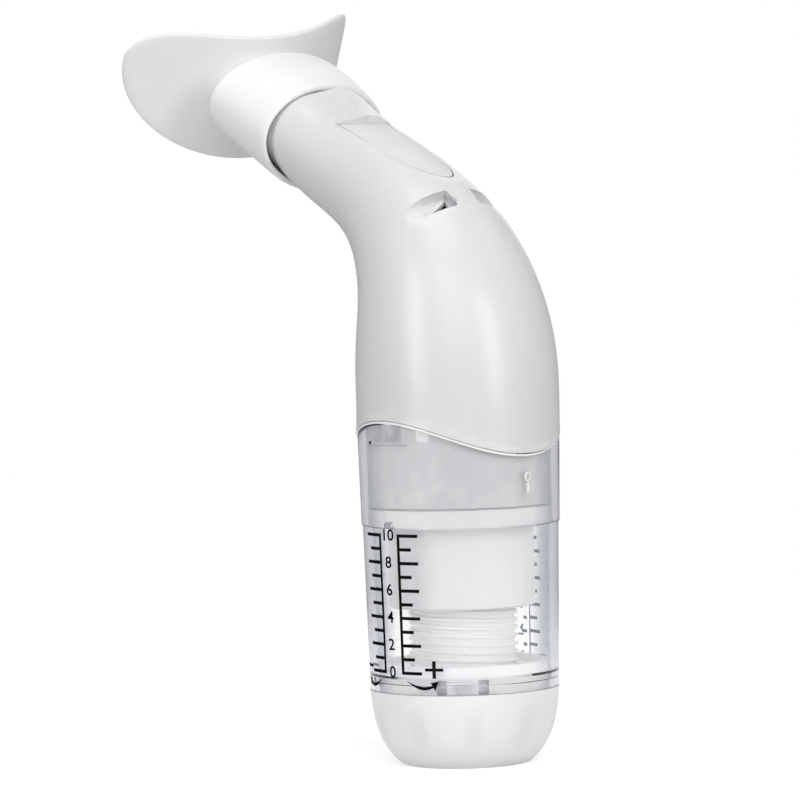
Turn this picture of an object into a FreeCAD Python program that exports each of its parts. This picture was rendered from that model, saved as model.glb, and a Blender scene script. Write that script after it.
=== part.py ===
import FreeCAD, Part
import math
import os

# A hand-held breathing trainer with a spring-loaded inlet valve.
# Frame, in millimetres: the origin is the middle of the knob's flat foot, +Z runs up the
# barrel's axis, the mouthpiece points to -X, and the XZ plane is the plane of symmetry.
# Air comes in through the knob's floor, rises inside the lead screw and the spring, lifts
# the poppet off its seat and goes up the duct to the mouth. Breath goes back through the
# duct's two flap ports into the shell and out of its two vents.

V = FreeCAD.Vector
Z_AXIS = V(0, 0, 1)
ORIGIN = V(0, 0, 0)

# Clearances
FIT_GAP = 0.25          # between turned or sliding faces of two bodies
SEAT_GAP = 0.1          # between faces that seat on each other along an axis
SOFT_GAP = 0.3          # round soft pieces
SEAM_GAP = 0.3          # the shadow gap of the wavy seam

# Knob
KNOB_FOOT_R = 16.2
KNOB_TOP_R = 23.75
KNOB_TOP_Z = 18.7
KNOB_DOME = ((18.9, 2.6), (21.3, 6.6), (22.8, 11.4))
KNOB_WALL = 2.0
FLUTES = 10
FLUTE_R = 12.0
FLUTE_DEPTH = 0.38
FLUTE_Z = 10.4
FLUTE_LEAN = 13.0       # the flutes lie along the dome, which leans out by this
INLET_SLOTS = 6
INLET_SLOT_W = 2.4
COLLAR_R = 21.2
COLLAR_WALL = 1.6
COLLAR_TOP_Z = 25.6
COLLAR_WEB_Z = 22.5     # a ring inside the collar, round the lead screw's foot
COLLAR_WEB_T = 1.4
FINGERS = 4
FINGER_TURN = 47.7
FINGER_SLOT_W = 2.6
FINGER_SLOT_TURN = 13.8
FINGER_SLOT_H = 3.9
BARB = 0.5
POST_R = 10.5
POST_WALL = 1.8
POST_TOP_Z = 40.0
POST_KEYS = 4
POST_KEY_W = 2.4
KEY_BITE = 0.75         # how far the post's keys reach into the screw's wall

# Clear sleeve
SLEEVE_FOOT_R = 23.65
SLEEVE_LEDGE_R = 24.5
SLEEVE_STEP = 0.3
SLEEVE_TOP_R = 25.45
LEDGE_Z = 59.8
LEDGE_BORE_R = 22.2
SOCKET_R = 23.1         # bore above the ledge, for the ring and the shell's skirt
GROOVE_Z = 21.2
GROOVE_H = 1.2
SEAM_Z = 82.05
SEAM_WAVE = 4.4         # half the height of the seam's wave, at the sleeve's rim

# Shell: each section is its middle in X and Z, its lean from upright in degrees, its
# half height in the plane of symmetry and its half width across that plane
SHELL_SECTIONS = (
    (0.0, 72.0, 0, 25.45, 25.45),
    (0.0, 86.0, 0, 25.45, 25.45),
    (0.0, 98.0, 1, 25.2, 25.5),
    (-1.1, 109.5, 8, 23.8, 24.7),
    (-3.9, 119.4, 20, 21.6, 22.9),
    (-9.2, 128.7, 35, 19.1, 20.4),
    (-16.8, 136.9, 47, 16.3, 17.6),
    (-26.2, 144.0, 56, 14.3, 16.0),
    (-37.5, 150.1, 60, 13.1, 16.2),
    (-46.0, 155.2, 60, 12.5, 16.9),
    (-54.5, 160.2, 60, 11.9, 17.2),
)
SHELL_WALL = 2.0
OVAL_POINTS = 8         # points that each smooth oval runs through
SKIRT_WALL = 2.0
SKIRT_BLEND_Z = 91.0
SKIRT_BLEND_H = 6.0
END_WALL = 2.4
SNAP_Z = 80.4
SNAP_H = 0.8
SNAP_R = 18.0           # each snap is the edge of a smaller disc, so its ends fade out
SNAP_OUT = 0.15

# Thumb pad, on a flat facet cut into the back of the neck
FACET_TIP = (0.0, 145.0)
FACET_END = (-34.6, 160.5)
PAD_T = 1.5
PAD_INSET = 0.6
PAD_BACKING = 1.2

# Vents, one each side of the ridge: where the scoop starts and where it is deepest
VENT_TIP = (0.6, 15.9, 136.1)
VENT_END = (4.2, 3.7, 141.4)
VENT_OUT = (0.52, 0.40, 0.74)
VENT_R = 2.9
VENT_DEPTH = 3.3
VENT_WALL = 1.2
VENT_SLOT = ((-0.9, -1.9), (-0.9, 2.3), (-7.0, 2.3), (-7.0, 0.9))   # along the scoop and across it

# Duct, in the same form as the shell's sections
BELL_FOOT_Z = 96.5
BELL_WALL = 1.5
BELL_SHOULDER_Z = 104.5
BELL_SHOULDER_H = 2.6
SEAL_GROOVE_Z = 98.0
SEAL_GROOVE_H = 2.0
DUCT_SECTIONS = (
    (0.0, 105.4, 0, 19.4, 19.4),
    (-0.3, 110.5, 4, 18.7, 18.7),
    (-2.2, 118.0, 16, 16.2, 16.0),
    (-8.6, 127.6, 35, 11.9, 12.2),
    (-17.3, 136.0, 47, 9.2, 11.2),
    (-26.8, 143.1, 56, 8.4, 11.6),
    (-38.0, 149.4, 60, 8.2, 12.4),
    (-51.73, 158.6, 60, 8.8, 13.6),
)
DUCT_WALL = 1.4
SNOUT_L = 16.2          # straight from the duct's last section, through the shell's end wall
FIN_W = 1.6
FIN_TOP_Z = 100.5

# Flap ports on the duct's two sides
PORT_AT = (-11.6, 131.2)
PORT_LEAN = 39.0
PORT_R = 3.4
BOSS_R = 5.0
CLIP_ROOM = 14.2        # half width of the shell's outer form that the flaps and clips need
FLAP_T = 0.7
FLAP_R = 4.5
FLAP_TAB = 3.0
FLAP_TAB_W = 5.0
BEAD_R = 0.75           # the round edge that the flap turns on
CLIP_L = 8.4
CLIP_W = 1.8
CLIP_T = 1.0
PEG_R = 0.6
PEG_AT = 3.3
PEG_DEPTH = 1.6

# Mouthpiece: the rim and root of its collar, then its lip flange
MOUTH_RIM = (-50.0, 157.7, 14.0, 14.4, 20.1)
MOUTH_WAIST = (-58.9, 163.2, 19.0, 14.2, 21.0)
MOUTH_ROOT = (-69.0, 168.9, 25.0, 12.9, 22.8)
MOUTH_BORE = (8.4, 14.0)
MOUTH_SINK = 6.0        # how far the collar's form runs on behind the lip's middle
LIP_AT = (-72.3, 170.2)
LIP_LEAN = 27.7
LIP_R = 45.9
LIP_W = 41.5
LIP_T = 1.5
LIP_RISE = (-1.6, 6.1)
LIP_HALF = (17.7, 3.4)
LIP_POWER = 2.14

# Valve housing: ring, cup guide, seat and stem guide
RING_TOP_Z = 64.2
NOTCH_W = 3.0
NOTCH_H = 1.7
SEAL_T = 0.4
GUIDE_WALL = 1.7
SEAT_Z = 104.0
SEAT_T = 2.0
SEAT_BORE_R = 12.6
SEAT_LIP = 0.8
SPIDER_ARMS = 3
SPIDER_ARM_W = 2.0
SPIDER_T = 3.0
HUB_R = 4.6

# Poppet, its stem and its screw
DISC_LAP = 2.6
DISC_T = 2.0
POPPET_SEAL_T = 0.8
STEM_R = 2.5
SCREW_SHANK_R = 1.6
SCREW_HEAD_R = 3.6
SCREW_HEAD_H = 1.6
SCREW_REACH = 7.0

# Lead screw
SCREW_CREST_R = 13.6
THREAD_DEPTH = 0.7
POST_ROOM = 0.5
SCREW_FOOT_Z = 22.0
SCREW_TOP_Z = 65.0
WEB_T = 2.6
WEB_HUB_R = 5.2
WEB_ARM_W = 2.6

# Cup and spring
CUP_R = 18.2
CUP_WALL = 1.1
CUP_Z = 39.3
CUP_H = 40.0
CUP_FLOOR_T = 3.0
CUP_KEY_W = 4.0
CUP_KEY_H = 3.0
CUP_KEY_OUT = 0.9
SPRING_WIRE_R = 0.65
SPRING_TURNS = 9
SPRING_SIDES = 6
WASHER_T = 0.6

# Radii and levels that follow from the sizes above
BOSS_Y = CLIP_ROOM - SHELL_WALL
DISC_R = SEAT_BORE_R + DISC_LAP
SCREW_ROOT_R = SCREW_CREST_R - THREAD_DEPTH
SCREW_BORE_R = POST_R + POST_ROOM
GUIDE_BORE_R = CUP_R + FIT_GAP
GUIDE_R = GUIDE_BORE_R + GUIDE_WALL
RING_R = SOCKET_R - FIT_GAP
COLLAR_BORE_R = COLLAR_R - COLLAR_WALL
SLEEVE_FOOT_BORE_R = COLLAR_R + FIT_GAP
CUP_BORE_R = CUP_R - CUP_WALL
NUT_BORE_R = SCREW_CREST_R + FIT_GAP
SPRING_R = (CUP_BORE_R + NUT_BORE_R) / 2 + 0.35
SEAT_UNDER_Z = SEAT_Z - SEAT_T
POPPET_Z = SEAT_Z + SEAT_LIP + POPPET_SEAL_T
SKIRT_FOOT_Z = RING_TOP_Z + SEAL_T + SEAT_GAP


def wave(point_r):
    """The height of the seam's wave at a radius, which grows with the radius squared."""
    return SEAM_WAVE * (point_r / SLEEVE_TOP_R) ** 2


def revolved(points):
    """A full turn about Z of a closed outline of (radius, z) points."""
    corners = [V(r, 0, z) for r, z in points]
    outline = Part.makePolygon(corners + corners[:1])
    return Part.Face(outline).revolve(ORIGIN, Z_AXIS, 360)


def tube(outer_r, inner_r, z0, z1):
    """A plain ring about Z."""
    return revolved(((inner_r, z0), (outer_r, z0), (outer_r, z1), (inner_r, z1)))


def disc(radius, z0, z1):
    """A plain cylinder about Z."""
    return Part.makeCylinder(radius, z1 - z0, V(0, 0, z0))


def bar(length, width, z0, z1, turn=0.0, start=0.0):
    """A box that runs out from the Z axis, from start to start + length."""
    box = Part.makeBox(length, width, z1 - z0, V(start, -width / 2, z0))
    return box.rotate(ORIGIN, Z_AXIS, turn)


def fused(shapes):
    """One solid from several that touch or overlap."""
    first, rest = shapes[0], shapes[1:]
    whole = first.fuse(rest) if rest else first
    return whole.removeSplitter()


def lean_axes(lean):
    """The direction a leaning section faces, and its own up direction toward the ridge."""
    angle = math.radians(lean)
    along = V(-math.sin(angle), 0, math.cos(angle))
    ridge = V(math.cos(angle), 0, math.sin(angle))
    return along, ridge


def oval(section, grow=0.0):
    """A closed smooth oval wire at one section, grown or shrunk by a distance."""
    x, z, lean, half_height, half_width = section
    _, ridge = lean_axes(lean)
    middle = V(x, 0, z)
    ring = []
    for step in range(OVAL_POINTS):
        angle = 2 * math.pi * step / OVAL_POINTS
        offset = ridge * ((half_height + grow) * math.cos(angle))
        side = V(0, (half_width + grow) * math.sin(angle), 0)
        ring.append(middle + offset + side)
    curve = Part.BSplineCurve()
    curve.interpolate(Points=ring, PeriodicFlag=True)
    return Part.Wire(curve.toShape())


def lofted(sections, grow=0.0):
    """A smooth solid through a row of ovals."""
    return Part.makeLoft([oval(s, grow) for s in sections], True, False)


def shifted(section, distance):
    """A section moved along the way it faces."""
    x, z, lean, half_height, half_width = section
    along, _ = lean_axes(lean)
    return (x + along.x * distance, z + along.z * distance, lean, half_height, half_width)


def below_seam(offset):
    """Everything under the seam's saddle surface, moved up by an offset."""
    reach = 40.0
    rise = 2 * wave(1.0) * reach * reach
    middle = SEAM_Z + offset
    corner = reach * math.sqrt(2)
    # The saddle z = middle - wave * (x^2 - y^2) is ruled along the two diagonals
    near = Part.makeLine(V(0, -corner, middle + rise), V(corner, 0, middle - rise))
    far = Part.makeLine(V(-corner, 0, middle - rise), V(0, corner, middle + rise))
    return Part.makeRuledSurface(near, far).extrude(V(0, 0, -90))


def facet_axes():
    """The facet's slope from its end to its tip, and its outward normal."""
    slope = V(FACET_TIP[0] - FACET_END[0], 0, FACET_TIP[1] - FACET_END[1])
    slope.normalize()
    return slope, V(-slope.z, 0, slope.x)


def facet_slab(top, bottom, end_gap=0.0):
    """The slab between two levels of the facet, from its end wall to past its tip."""
    slope, out = facet_axes()
    start = V(FACET_END[0], 0, FACET_END[1]) + slope * end_gap
    length = 60.0
    corners = [start + out * bottom, start + out * bottom + slope * length,
               start + out * top + slope * length, start + out * top]
    corners = [c - V(0, 30, 0) for c in corners]
    return Part.Face(Part.makePolygon(corners + corners[:1])).extrude(V(0, 60, 0))


def vent_cutter(side, grow=0.0, past=0.0):
    """The round scoop of one vent: it dives into the shell toward the ridge."""
    out = V(VENT_OUT[0], VENT_OUT[1] * side, VENT_OUT[2])
    out.normalize()
    tip = V(VENT_TIP[0], VENT_TIP[1] * side, VENT_TIP[2]) + out * VENT_R
    end = V(VENT_END[0], VENT_END[1] * side, VENT_END[2]) + out * (VENT_R - VENT_DEPTH)
    way = end - tip
    length = way.Length
    way.normalize()
    start = tip - way * 6
    return Part.makeCylinder(VENT_R + grow, length + 6 + past, start, way)


def vent_slot(side):
    """The wedge-shaped slot at the deep end of one scoop, which opens into the shell."""
    out = V(VENT_OUT[0], VENT_OUT[1] * side, VENT_OUT[2])
    out.normalize()
    tip = V(VENT_TIP[0], VENT_TIP[1] * side, VENT_TIP[2])
    end = V(VENT_END[0], VENT_END[1] * side, VENT_END[2])
    way = end - tip
    way.normalize()
    across = way.cross(out)
    if across.x < 0:
        across = across * -1
    above = end - out * (VENT_DEPTH - 2.2)
    corners = [above + way * a + across * b for a, b in VENT_SLOT]
    return Part.Face(Part.makePolygon(corners + corners[:1])).extrude(out * -7.0)


def flute_cutter():
    """The long round cutter of one flute, which lies along the dome."""
    angle = math.radians(FLUTE_LEAN)
    way = V(math.sin(angle), 0, math.cos(angle))
    middle = V(KNOB_DOME[-1][0] - FLUTE_DEPTH + FLUTE_R / way.z, 0, FLUTE_Z)
    return Part.makeCylinder(FLUTE_R, 2 * KNOB_TOP_R, middle - way * KNOB_TOP_R, way)


def make_tension_knob():
    """The domed knob with its flutes, inlet slots, snap collar and driving post."""
    foot = V(KNOB_FOOT_R, 0, 0)
    crown = V(KNOB_TOP_R, 0, KNOB_TOP_Z)
    rise = Part.BSplineCurve()
    rise.interpolate(Points=[foot] + [V(r, 0, z) for r, z in KNOB_DOME] + [crown])
    edges = [Part.makeLine(ORIGIN, foot), rise.toShape(),
             Part.makeLine(crown, V(0, 0, KNOB_TOP_Z)),
             Part.makeLine(V(0, 0, KNOB_TOP_Z), ORIGIN)]
    dome = Part.Face(Part.Wire(edges)).revolve(ORIGIN, Z_AXIS, 360)
    for step in range(FLUTES):
        dome = dome.cut(flute_cutter().rotate(ORIGIN, Z_AXIS, step * 360 / FLUTES))
    hollow = revolved(((POST_R, KNOB_WALL), (KNOB_FOOT_R - 0.6, KNOB_WALL), (19.0, 6.6), (20.2, 11.0),
                       (COLLAR_BORE_R, KNOB_TOP_Z - KNOB_WALL), (COLLAR_BORE_R, KNOB_TOP_Z + 1),
                       (POST_R, KNOB_TOP_Z + 1)))
    dome = dome.cut(hollow)
    collar = tube(COLLAR_R, COLLAR_BORE_R, KNOB_TOP_Z - 1, COLLAR_TOP_Z)
    web = tube(COLLAR_BORE_R + 0.5, SCREW_CREST_R + 2 * FIT_GAP, COLLAR_WEB_Z, COLLAR_WEB_Z + COLLAR_WEB_T)
    barb_z = GROOVE_Z + SEAT_GAP
    barb = revolved(((COLLAR_R - 0.2, barb_z), (COLLAR_R + BARB, barb_z),
                     (COLLAR_R + BARB, barb_z + 0.4), (COLLAR_R - 0.2, barb_z + 1.0)))
    fingers = []
    slots = []
    for step in range(FINGERS):
        turn = FINGER_TURN + step * 360 / FINGERS
        fingers.append(bar(30, 8.0, barb_z - 1, barb_z + 2, turn))
        for side in (-1, 1):
            slots.append(bar(30, FINGER_SLOT_W, KNOB_TOP_Z + 0.05, KNOB_TOP_Z + FINGER_SLOT_H,
                             turn + side * FINGER_SLOT_TURN, COLLAR_BORE_R - 1))
    barbs = barb.common(fused(fingers))
    post = tube(POST_R, POST_R - POST_WALL, KNOB_WALL - 1, POST_TOP_Z)
    keys = []
    key_out = SCREW_BORE_R + KEY_BITE
    for step in range(POST_KEYS):
        keys.append(bar(key_out - POST_R + 0.6, POST_KEY_W, SCREW_FOOT_Z - 1.5, POST_TOP_Z - 1,
                        step * 360 / POST_KEYS, POST_R - 0.6))
    knob = fused([dome, collar, web, barbs, post] + keys)
    knob = knob.cut(disc(POST_R - POST_WALL, KNOB_WALL, POST_TOP_Z + 1))
    inlets = []
    for step in range(INLET_SLOTS):
        inlets.append(bar(5.0, INLET_SLOT_W, -1, KNOB_WALL + 1, step * 360 / INLET_SLOTS, 2.6))
    return knob.cut(Part.makeCompound(slots + inlets))


def snap_discs(reach, z0, z1):
    """The two discs whose edges reach out to a radius, one on each side."""
    return [Part.makeCylinder(SNAP_R, z1 - z0, V(0, side * (reach - SNAP_R), z0)) for side in (-1, 1)]


def make_scale_sleeve():
    """The clear tapered sleeve with its ledge, snap groove and wavy rim."""
    foot_z = KNOB_TOP_Z + SEAM_GAP - SEAT_GAP
    top_z = SEAM_Z + SEAM_WAVE + 4
    groove_r = COLLAR_R + BARB + FIT_GAP
    body = revolved((
        (SLEEVE_FOOT_BORE_R, foot_z), (SLEEVE_FOOT_R, foot_z), (SLEEVE_LEDGE_R, LEDGE_Z),
        (SLEEVE_LEDGE_R + SLEEVE_STEP, LEDGE_Z + 0.25), (SLEEVE_TOP_R, top_z), (SOCKET_R, top_z),
        (SOCKET_R, LEDGE_Z), (LEDGE_BORE_R, LEDGE_Z), (SLEEVE_FOOT_BORE_R + 0.1, GROOVE_Z + GROOVE_H + 0.6),
        (groove_r, GROOVE_Z + GROOVE_H), (groove_r, GROOVE_Z - 0.1), (SLEEVE_FOOT_BORE_R, GROOVE_Z - 0.3)))
    body = body.common(below_seam(-SEAM_GAP / 2))
    body = body.cut(snap_discs(SOCKET_R + 2 * SNAP_OUT, SNAP_Z - 0.2, SNAP_Z + SNAP_H + 0.2))
    keys = []
    for side in (-1, 1):
        key = Part.makeBox(NOTCH_W - 2 * FIT_GAP, 1.6, NOTCH_H - FIT_GAP,
                           V(-NOTCH_W / 2 + FIT_GAP, -0.8, LEDGE_Z - 0.2))
        key.translate(V(0, side * (LEDGE_BORE_R + 0.9), 0))
        keys.append(key)
    return fused([body] + keys)


def make_valve_housing():
    """The white ring on the ledge, the cup's keyed guide, the seat and the stem guide."""
    ring = tube(RING_R, GUIDE_BORE_R, LEDGE_Z + SEAT_GAP, RING_TOP_Z)
    guide = tube(GUIDE_R, GUIDE_BORE_R, LEDGE_Z + SEAT_GAP, SEAT_Z)
    plate = tube(GUIDE_R, SEAT_BORE_R, SEAT_UNDER_Z, SEAT_Z)
    lip = revolved(((SEAT_BORE_R, SEAT_Z - 0.2), (SEAT_BORE_R + 1.4, SEAT_Z - 0.2),
                    (SEAT_BORE_R + 0.9, SEAT_Z + SEAT_LIP), (SEAT_BORE_R + 0.5, SEAT_Z + SEAT_LIP)))
    hub_z = SEAT_Z - SPIDER_T
    hub = tube(HUB_R, STEM_R + FIT_GAP, hub_z, SEAT_Z)
    arms = [bar(SEAT_BORE_R - HUB_R + 1.0, SPIDER_ARM_W, hub_z, SEAT_Z, 30 + step * 360 / SPIDER_ARMS,
                HUB_R - 0.5) for step in range(SPIDER_ARMS)]
    body = fused([ring, guide, plate, lip, hub] + arms)
    notches = Part.makeBox(NOTCH_W, 60, NOTCH_H, V(-NOTCH_W / 2, -30, LEDGE_Z))
    body = body.cut(notches.cut(disc(RING_R - 2.4, LEDGE_Z - 1, LEDGE_Z + 5)))
    ways = []
    for turn in (0, 180):
        ways.append(bar(CUP_KEY_OUT + FIT_GAP + 1, CUP_KEY_W + 2 * FIT_GAP, LEDGE_Z - 1, SEAT_UNDER_Z,
                        turn, GUIDE_BORE_R - 1 + FIT_GAP))
    body = body.cut(Part.makeCompound(ways))
    groove_top = SEAL_GROOVE_Z + SEAL_GROOVE_H
    return body.cut(tube(GUIDE_R + 1, GUIDE_R - 0.5, SEAL_GROOVE_Z, groove_top))


def make_duct_seal():
    """The soft ring in the housing's groove, which the duct's foot closes on."""
    top = SEAL_GROOVE_Z + SEAL_GROOVE_H - SEAT_GAP
    return tube(GUIDE_R + FIT_GAP - 0.1, GUIDE_R - 0.4, SEAL_GROOVE_Z + SEAT_GAP, top)


def make_handle_seal():
    """The flat soft ring between the housing's ring and the shell's skirt."""
    return tube(RING_R - 0.1, GUIDE_R + SOFT_GAP, RING_TOP_Z + 0.02, RING_TOP_Z + SEAL_T)


def make_poppet_disc():
    """The valve disc with its long stem."""
    top = POPPET_Z + DISC_T
    head = revolved(((0, POPPET_Z + 0.02), (DISC_R, POPPET_Z + 0.02), (DISC_R, top - 0.6),
                     (DISC_R - 2.0, top), (6.0, top), (4.0, top + 1.4), (0, top + 1.4)))
    stem = disc(STEM_R, SCREW_TOP_Z + SEAT_GAP, POPPET_Z + 1)
    hole = disc(SCREW_SHANK_R + 0.02, SCREW_TOP_Z - 1, SCREW_TOP_Z + SCREW_REACH)
    return fused([head, stem]).cut(hole)


def make_poppet_seal():
    """The soft ring under the disc, which lands on the seat's lip."""
    return tube(SEAT_BORE_R + 2.2, SEAT_BORE_R - 0.8, POPPET_Z - POPPET_SEAL_T + 0.02, POPPET_Z)


def make_stem_screw():
    """The shouldered screw that hangs the lead screw from the stem."""
    under = SCREW_TOP_Z - WEB_T - SEAT_GAP
    head = disc(SCREW_HEAD_R, under - SCREW_HEAD_H, under)
    shank = disc(SCREW_SHANK_R, under - 0.5, SCREW_TOP_Z + SCREW_REACH - 0.5)
    socket = Part.makeBox(5.0, 0.9, 0.8, V(-2.5, -0.45, under - SCREW_HEAD_H))
    return fused([head, shank]).cut(socket)


def make_lead_screw():
    """The hollow screw: its threaded tube, its inner keyways and its carrying web."""
    body = tube(SCREW_ROOT_R, SCREW_BORE_R, SCREW_FOOT_Z, SCREW_TOP_Z)
    thread = tube(SCREW_CREST_R, SCREW_ROOT_R - 0.5, SCREW_FOOT_Z + 2, SCREW_TOP_Z - WEB_T)
    way_top = SCREW_TOP_Z - WEB_T - 3
    ways = [bar(KEY_BITE + FIT_GAP + 1.0, POST_KEY_W + 2 * FIT_GAP, SCREW_FOOT_Z - 1, way_top,
                step * 360 / POST_KEYS, SCREW_BORE_R - 1.0) for step in range(POST_KEYS)]
    hub = tube(WEB_HUB_R, SCREW_SHANK_R + FIT_GAP, SCREW_TOP_Z - WEB_T, SCREW_TOP_Z)
    arms = [bar(SCREW_BORE_R - WEB_HUB_R + 1.0, WEB_ARM_W, SCREW_TOP_Z - WEB_T, SCREW_TOP_Z,
                45 + step * 90, WEB_HUB_R - 0.5) for step in range(4)]
    return fused([body, thread, hub] + arms).cut(Part.makeCompound(ways))


def make_spring_cup():
    """The cup that the spring stands in, with its nut bore and its two guide keys."""
    shell = revolved(((NUT_BORE_R, CUP_Z), (CUP_R - 0.4, CUP_Z), (CUP_R, CUP_Z + 0.4),
                      (CUP_R, CUP_Z + CUP_H), (CUP_BORE_R, CUP_Z + CUP_H),
                      (CUP_BORE_R, CUP_Z + CUP_FLOOR_T), (NUT_BORE_R, CUP_Z + CUP_FLOOR_T)))
    top = CUP_Z + CUP_H
    keys = [bar(CUP_KEY_OUT + 0.5, CUP_KEY_W, top - CUP_KEY_H, top, turn, CUP_R - 0.5) for turn in (0, 180)]
    return fused([shell] + keys)


def polygon_section(middle, way, radius, sides):
    """A flat-sided wire across a path, for round wire with few faces."""
    first = way.cross(Z_AXIS)
    first.normalize()
    second = way.cross(first)
    second.normalize()
    ring = []
    for step in range(sides):
        angle = 2 * math.pi * (step + 0.5) / sides
        ring.append(middle + first * (radius * math.cos(angle)) + second * (radius * math.sin(angle)))
    return Part.makePolygon(ring + ring[:1])


def make_load_spring():
    """The compression spring, as a coil with plain ends."""
    low = CUP_Z + CUP_FLOOR_T + SPRING_WIRE_R + SEAT_GAP
    high = SEAT_UNDER_Z - WASHER_T - 2 * SEAT_GAP - SPRING_WIRE_R
    pitch = (high - low) / SPRING_TURNS
    helix = Part.makeLongHelix(pitch, high - low, SPRING_R)
    helix.translate(V(0, 0, low))
    start = helix.Edges[0].valueAt(helix.Edges[0].FirstParameter)
    way = helix.Edges[0].tangentAt(helix.Edges[0].FirstParameter)
    section = polygon_section(start, way, SPRING_WIRE_R, SPRING_SIDES)
    return Part.Wire(helix.Edges).makePipeShell([section], True, True)


def make_spring_washer():
    """The flat washer between the spring and the seat plate."""
    z1 = SEAT_UNDER_Z - SEAT_GAP
    return tube(SPRING_R + 1.0, SPRING_R - 1.2, z1 - WASHER_T, z1)


def shell_hollow():
    """The space inside the shell, which stays clear of the pad's backing and the vents."""
    inner = lofted(SHELL_SECTIONS[1:], -SHELL_WALL)
    skirt_bore_r = SOCKET_R - FIT_GAP - SKIRT_WALL
    cone_top = SKIRT_BLEND_Z + SKIRT_BLEND_H
    low = revolved(((0, 50), (skirt_bore_r, 50), (skirt_bore_r, SKIRT_BLEND_Z),
                    (SHELL_SECTIONS[1][3] - SHELL_WALL - 0.6, cone_top), (0, cone_top)))
    inner = inner.cut(disc(60, 60, cone_top - 1.0))
    backing = facet_slab(30, -(PAD_T + PAD_BACKING + SEAT_GAP), -END_WALL)
    tubs = [vent_cutter(side, VENT_WALL, VENT_WALL) for side in (-1, 1)]
    inner = inner.cut(backing).cut(tubs[0]).cut(tubs[1])
    end = shifted(SHELL_SECTIONS[-1], -END_WALL)
    along, _ = lean_axes(end[2])
    plug = Part.makeCylinder(40, 30, V(end[0], 0, end[1]), along)
    return inner.cut(plug), low


def make_handle_shell():
    """The bent shell: body, skirt, pad facet, vents and the opening for the snout."""
    outer = lofted(SHELL_SECTIONS)
    body = outer.cut(below_seam(SEAM_GAP / 2))
    skirt_r = SOCKET_R - FIT_GAP
    skirt = disc(skirt_r, SKIRT_FOOT_Z, SKIRT_BLEND_Z)
    body = body.fuse([skirt] + snap_discs(skirt_r + SNAP_OUT, SNAP_Z, SNAP_Z + SNAP_H))
    hollow, low = shell_hollow()
    body = body.cut(low).cut(hollow)
    body = body.cut(facet_slab(30, 0))
    inset = lofted(SHELL_SECTIONS[4:], -PAD_INSET)
    pocket = facet_slab(1, -PAD_T - SEAT_GAP / 2).common(inset)
    body = body.cut(pocket)
    for side in (-1, 1):
        body = body.cut(vent_cutter(side)).cut(vent_slot(side))
    last = DUCT_SECTIONS[-1]
    along, _ = lean_axes(last[2])
    return body.cut(Part.Face(oval(last, FIT_GAP)).extrude(along * SNOUT_L))


def make_thumb_pad():
    """The soft inlay that fills the facet's pocket."""
    inset = lofted(SHELL_SECTIONS[4:], -PAD_INSET - SEAT_GAP)
    return facet_slab(0.05, -PAD_T, SEAT_GAP).common(inset)


def port_frame():
    """The middle of the flap ports, the way along the duct and the way to the ridge."""
    along, ridge = lean_axes(PORT_LEAN)
    return V(PORT_AT[0], 0, PORT_AT[1]), along, ridge


def make_airway_duct():
    """The duct from the valve to the snout, with its fins and its two ported bosses."""
    outer = lofted(DUCT_SECTIONS)
    inner = lofted(DUCT_SECTIONS, -DUCT_WALL)
    last = DUCT_SECTIONS[-1]
    along, _ = lean_axes(last[2])
    snout = Part.Face(oval(last)).extrude(along * SNOUT_L)
    bore = Part.Face(oval(last, -DUCT_WALL)).extrude(along * (SNOUT_L + 1))
    middle, _, _ = port_frame()
    boss = Part.makeCylinder(BOSS_R, 2 * BOSS_Y, middle - V(0, BOSS_Y, 0), V(0, 1, 0))
    rest_y = bead_y() - BEAD_R - SEAT_GAP
    rest = plank(clip_middle(), CLIP_L, CLIP_W + 1.0, -rest_y, rest_y)
    bell_bore_r = GUIDE_R + FIT_GAP
    bell_r = bell_bore_r + BELL_WALL
    neck_r = DUCT_SECTIONS[0][3] - DUCT_WALL / 2
    bell = revolved((
        (bell_bore_r, BELL_FOOT_Z), (bell_r, BELL_FOOT_Z), (bell_r, BELL_SHOULDER_Z + 0.4),
        (neck_r + 1.0, BELL_SHOULDER_Z + BELL_SHOULDER_H), (neck_r, BELL_SHOULDER_Z + BELL_SHOULDER_H),
        (neck_r, BELL_SHOULDER_Z), (bell_bore_r, BELL_SHOULDER_Z)))
    fin_r = SHELL_SECTIONS[2][3] - SHELL_WALL - FIT_GAP - SOFT_GAP
    fins = [bar(fin_r - bell_r + 0.7, FIN_W, BELL_FOOT_Z + 1, FIN_TOP_Z, 45 + step * 90, bell_r - 0.7)
            for step in range(4)]
    body = outer.fuse([snout, boss, rest, bell] + fins)
    body = body.cut(inner).cut(bore)
    port = Part.makeCylinder(PORT_R, 4 * BOSS_Y, middle - V(0, 2 * BOSS_Y, 0), V(0, 1, 0))
    holes = pegs(1, SEAT_GAP / 2) + pegs(-1, SEAT_GAP / 2)
    return body.cut([port] + holes)


def clip_middle():
    """The middle of the flap's hinge bead, in the plane of symmetry."""
    middle, along, _ = port_frame()
    return middle + along * (FLAP_R + FLAP_TAB)


def bead_y():
    """How far the bead's axis lies from the plane of symmetry."""
    return BOSS_Y + SEAT_GAP / 2 + FLAP_T / 2


def plank(middle, length, width, y0, y1):
    """A block of a length toward the ridge and a width along the duct, from y0 to y1."""
    _, along, ridge = port_frame()
    corner = middle - ridge * (length / 2) - along * (width / 2) + V(0, y0, 0)
    corners = [corner, corner + ridge * length,
               corner + ridge * length + along * width, corner + along * width]
    return Part.Face(Part.makePolygon(corners + corners[:1])).extrude(V(0, y1 - y0, 0))


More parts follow.
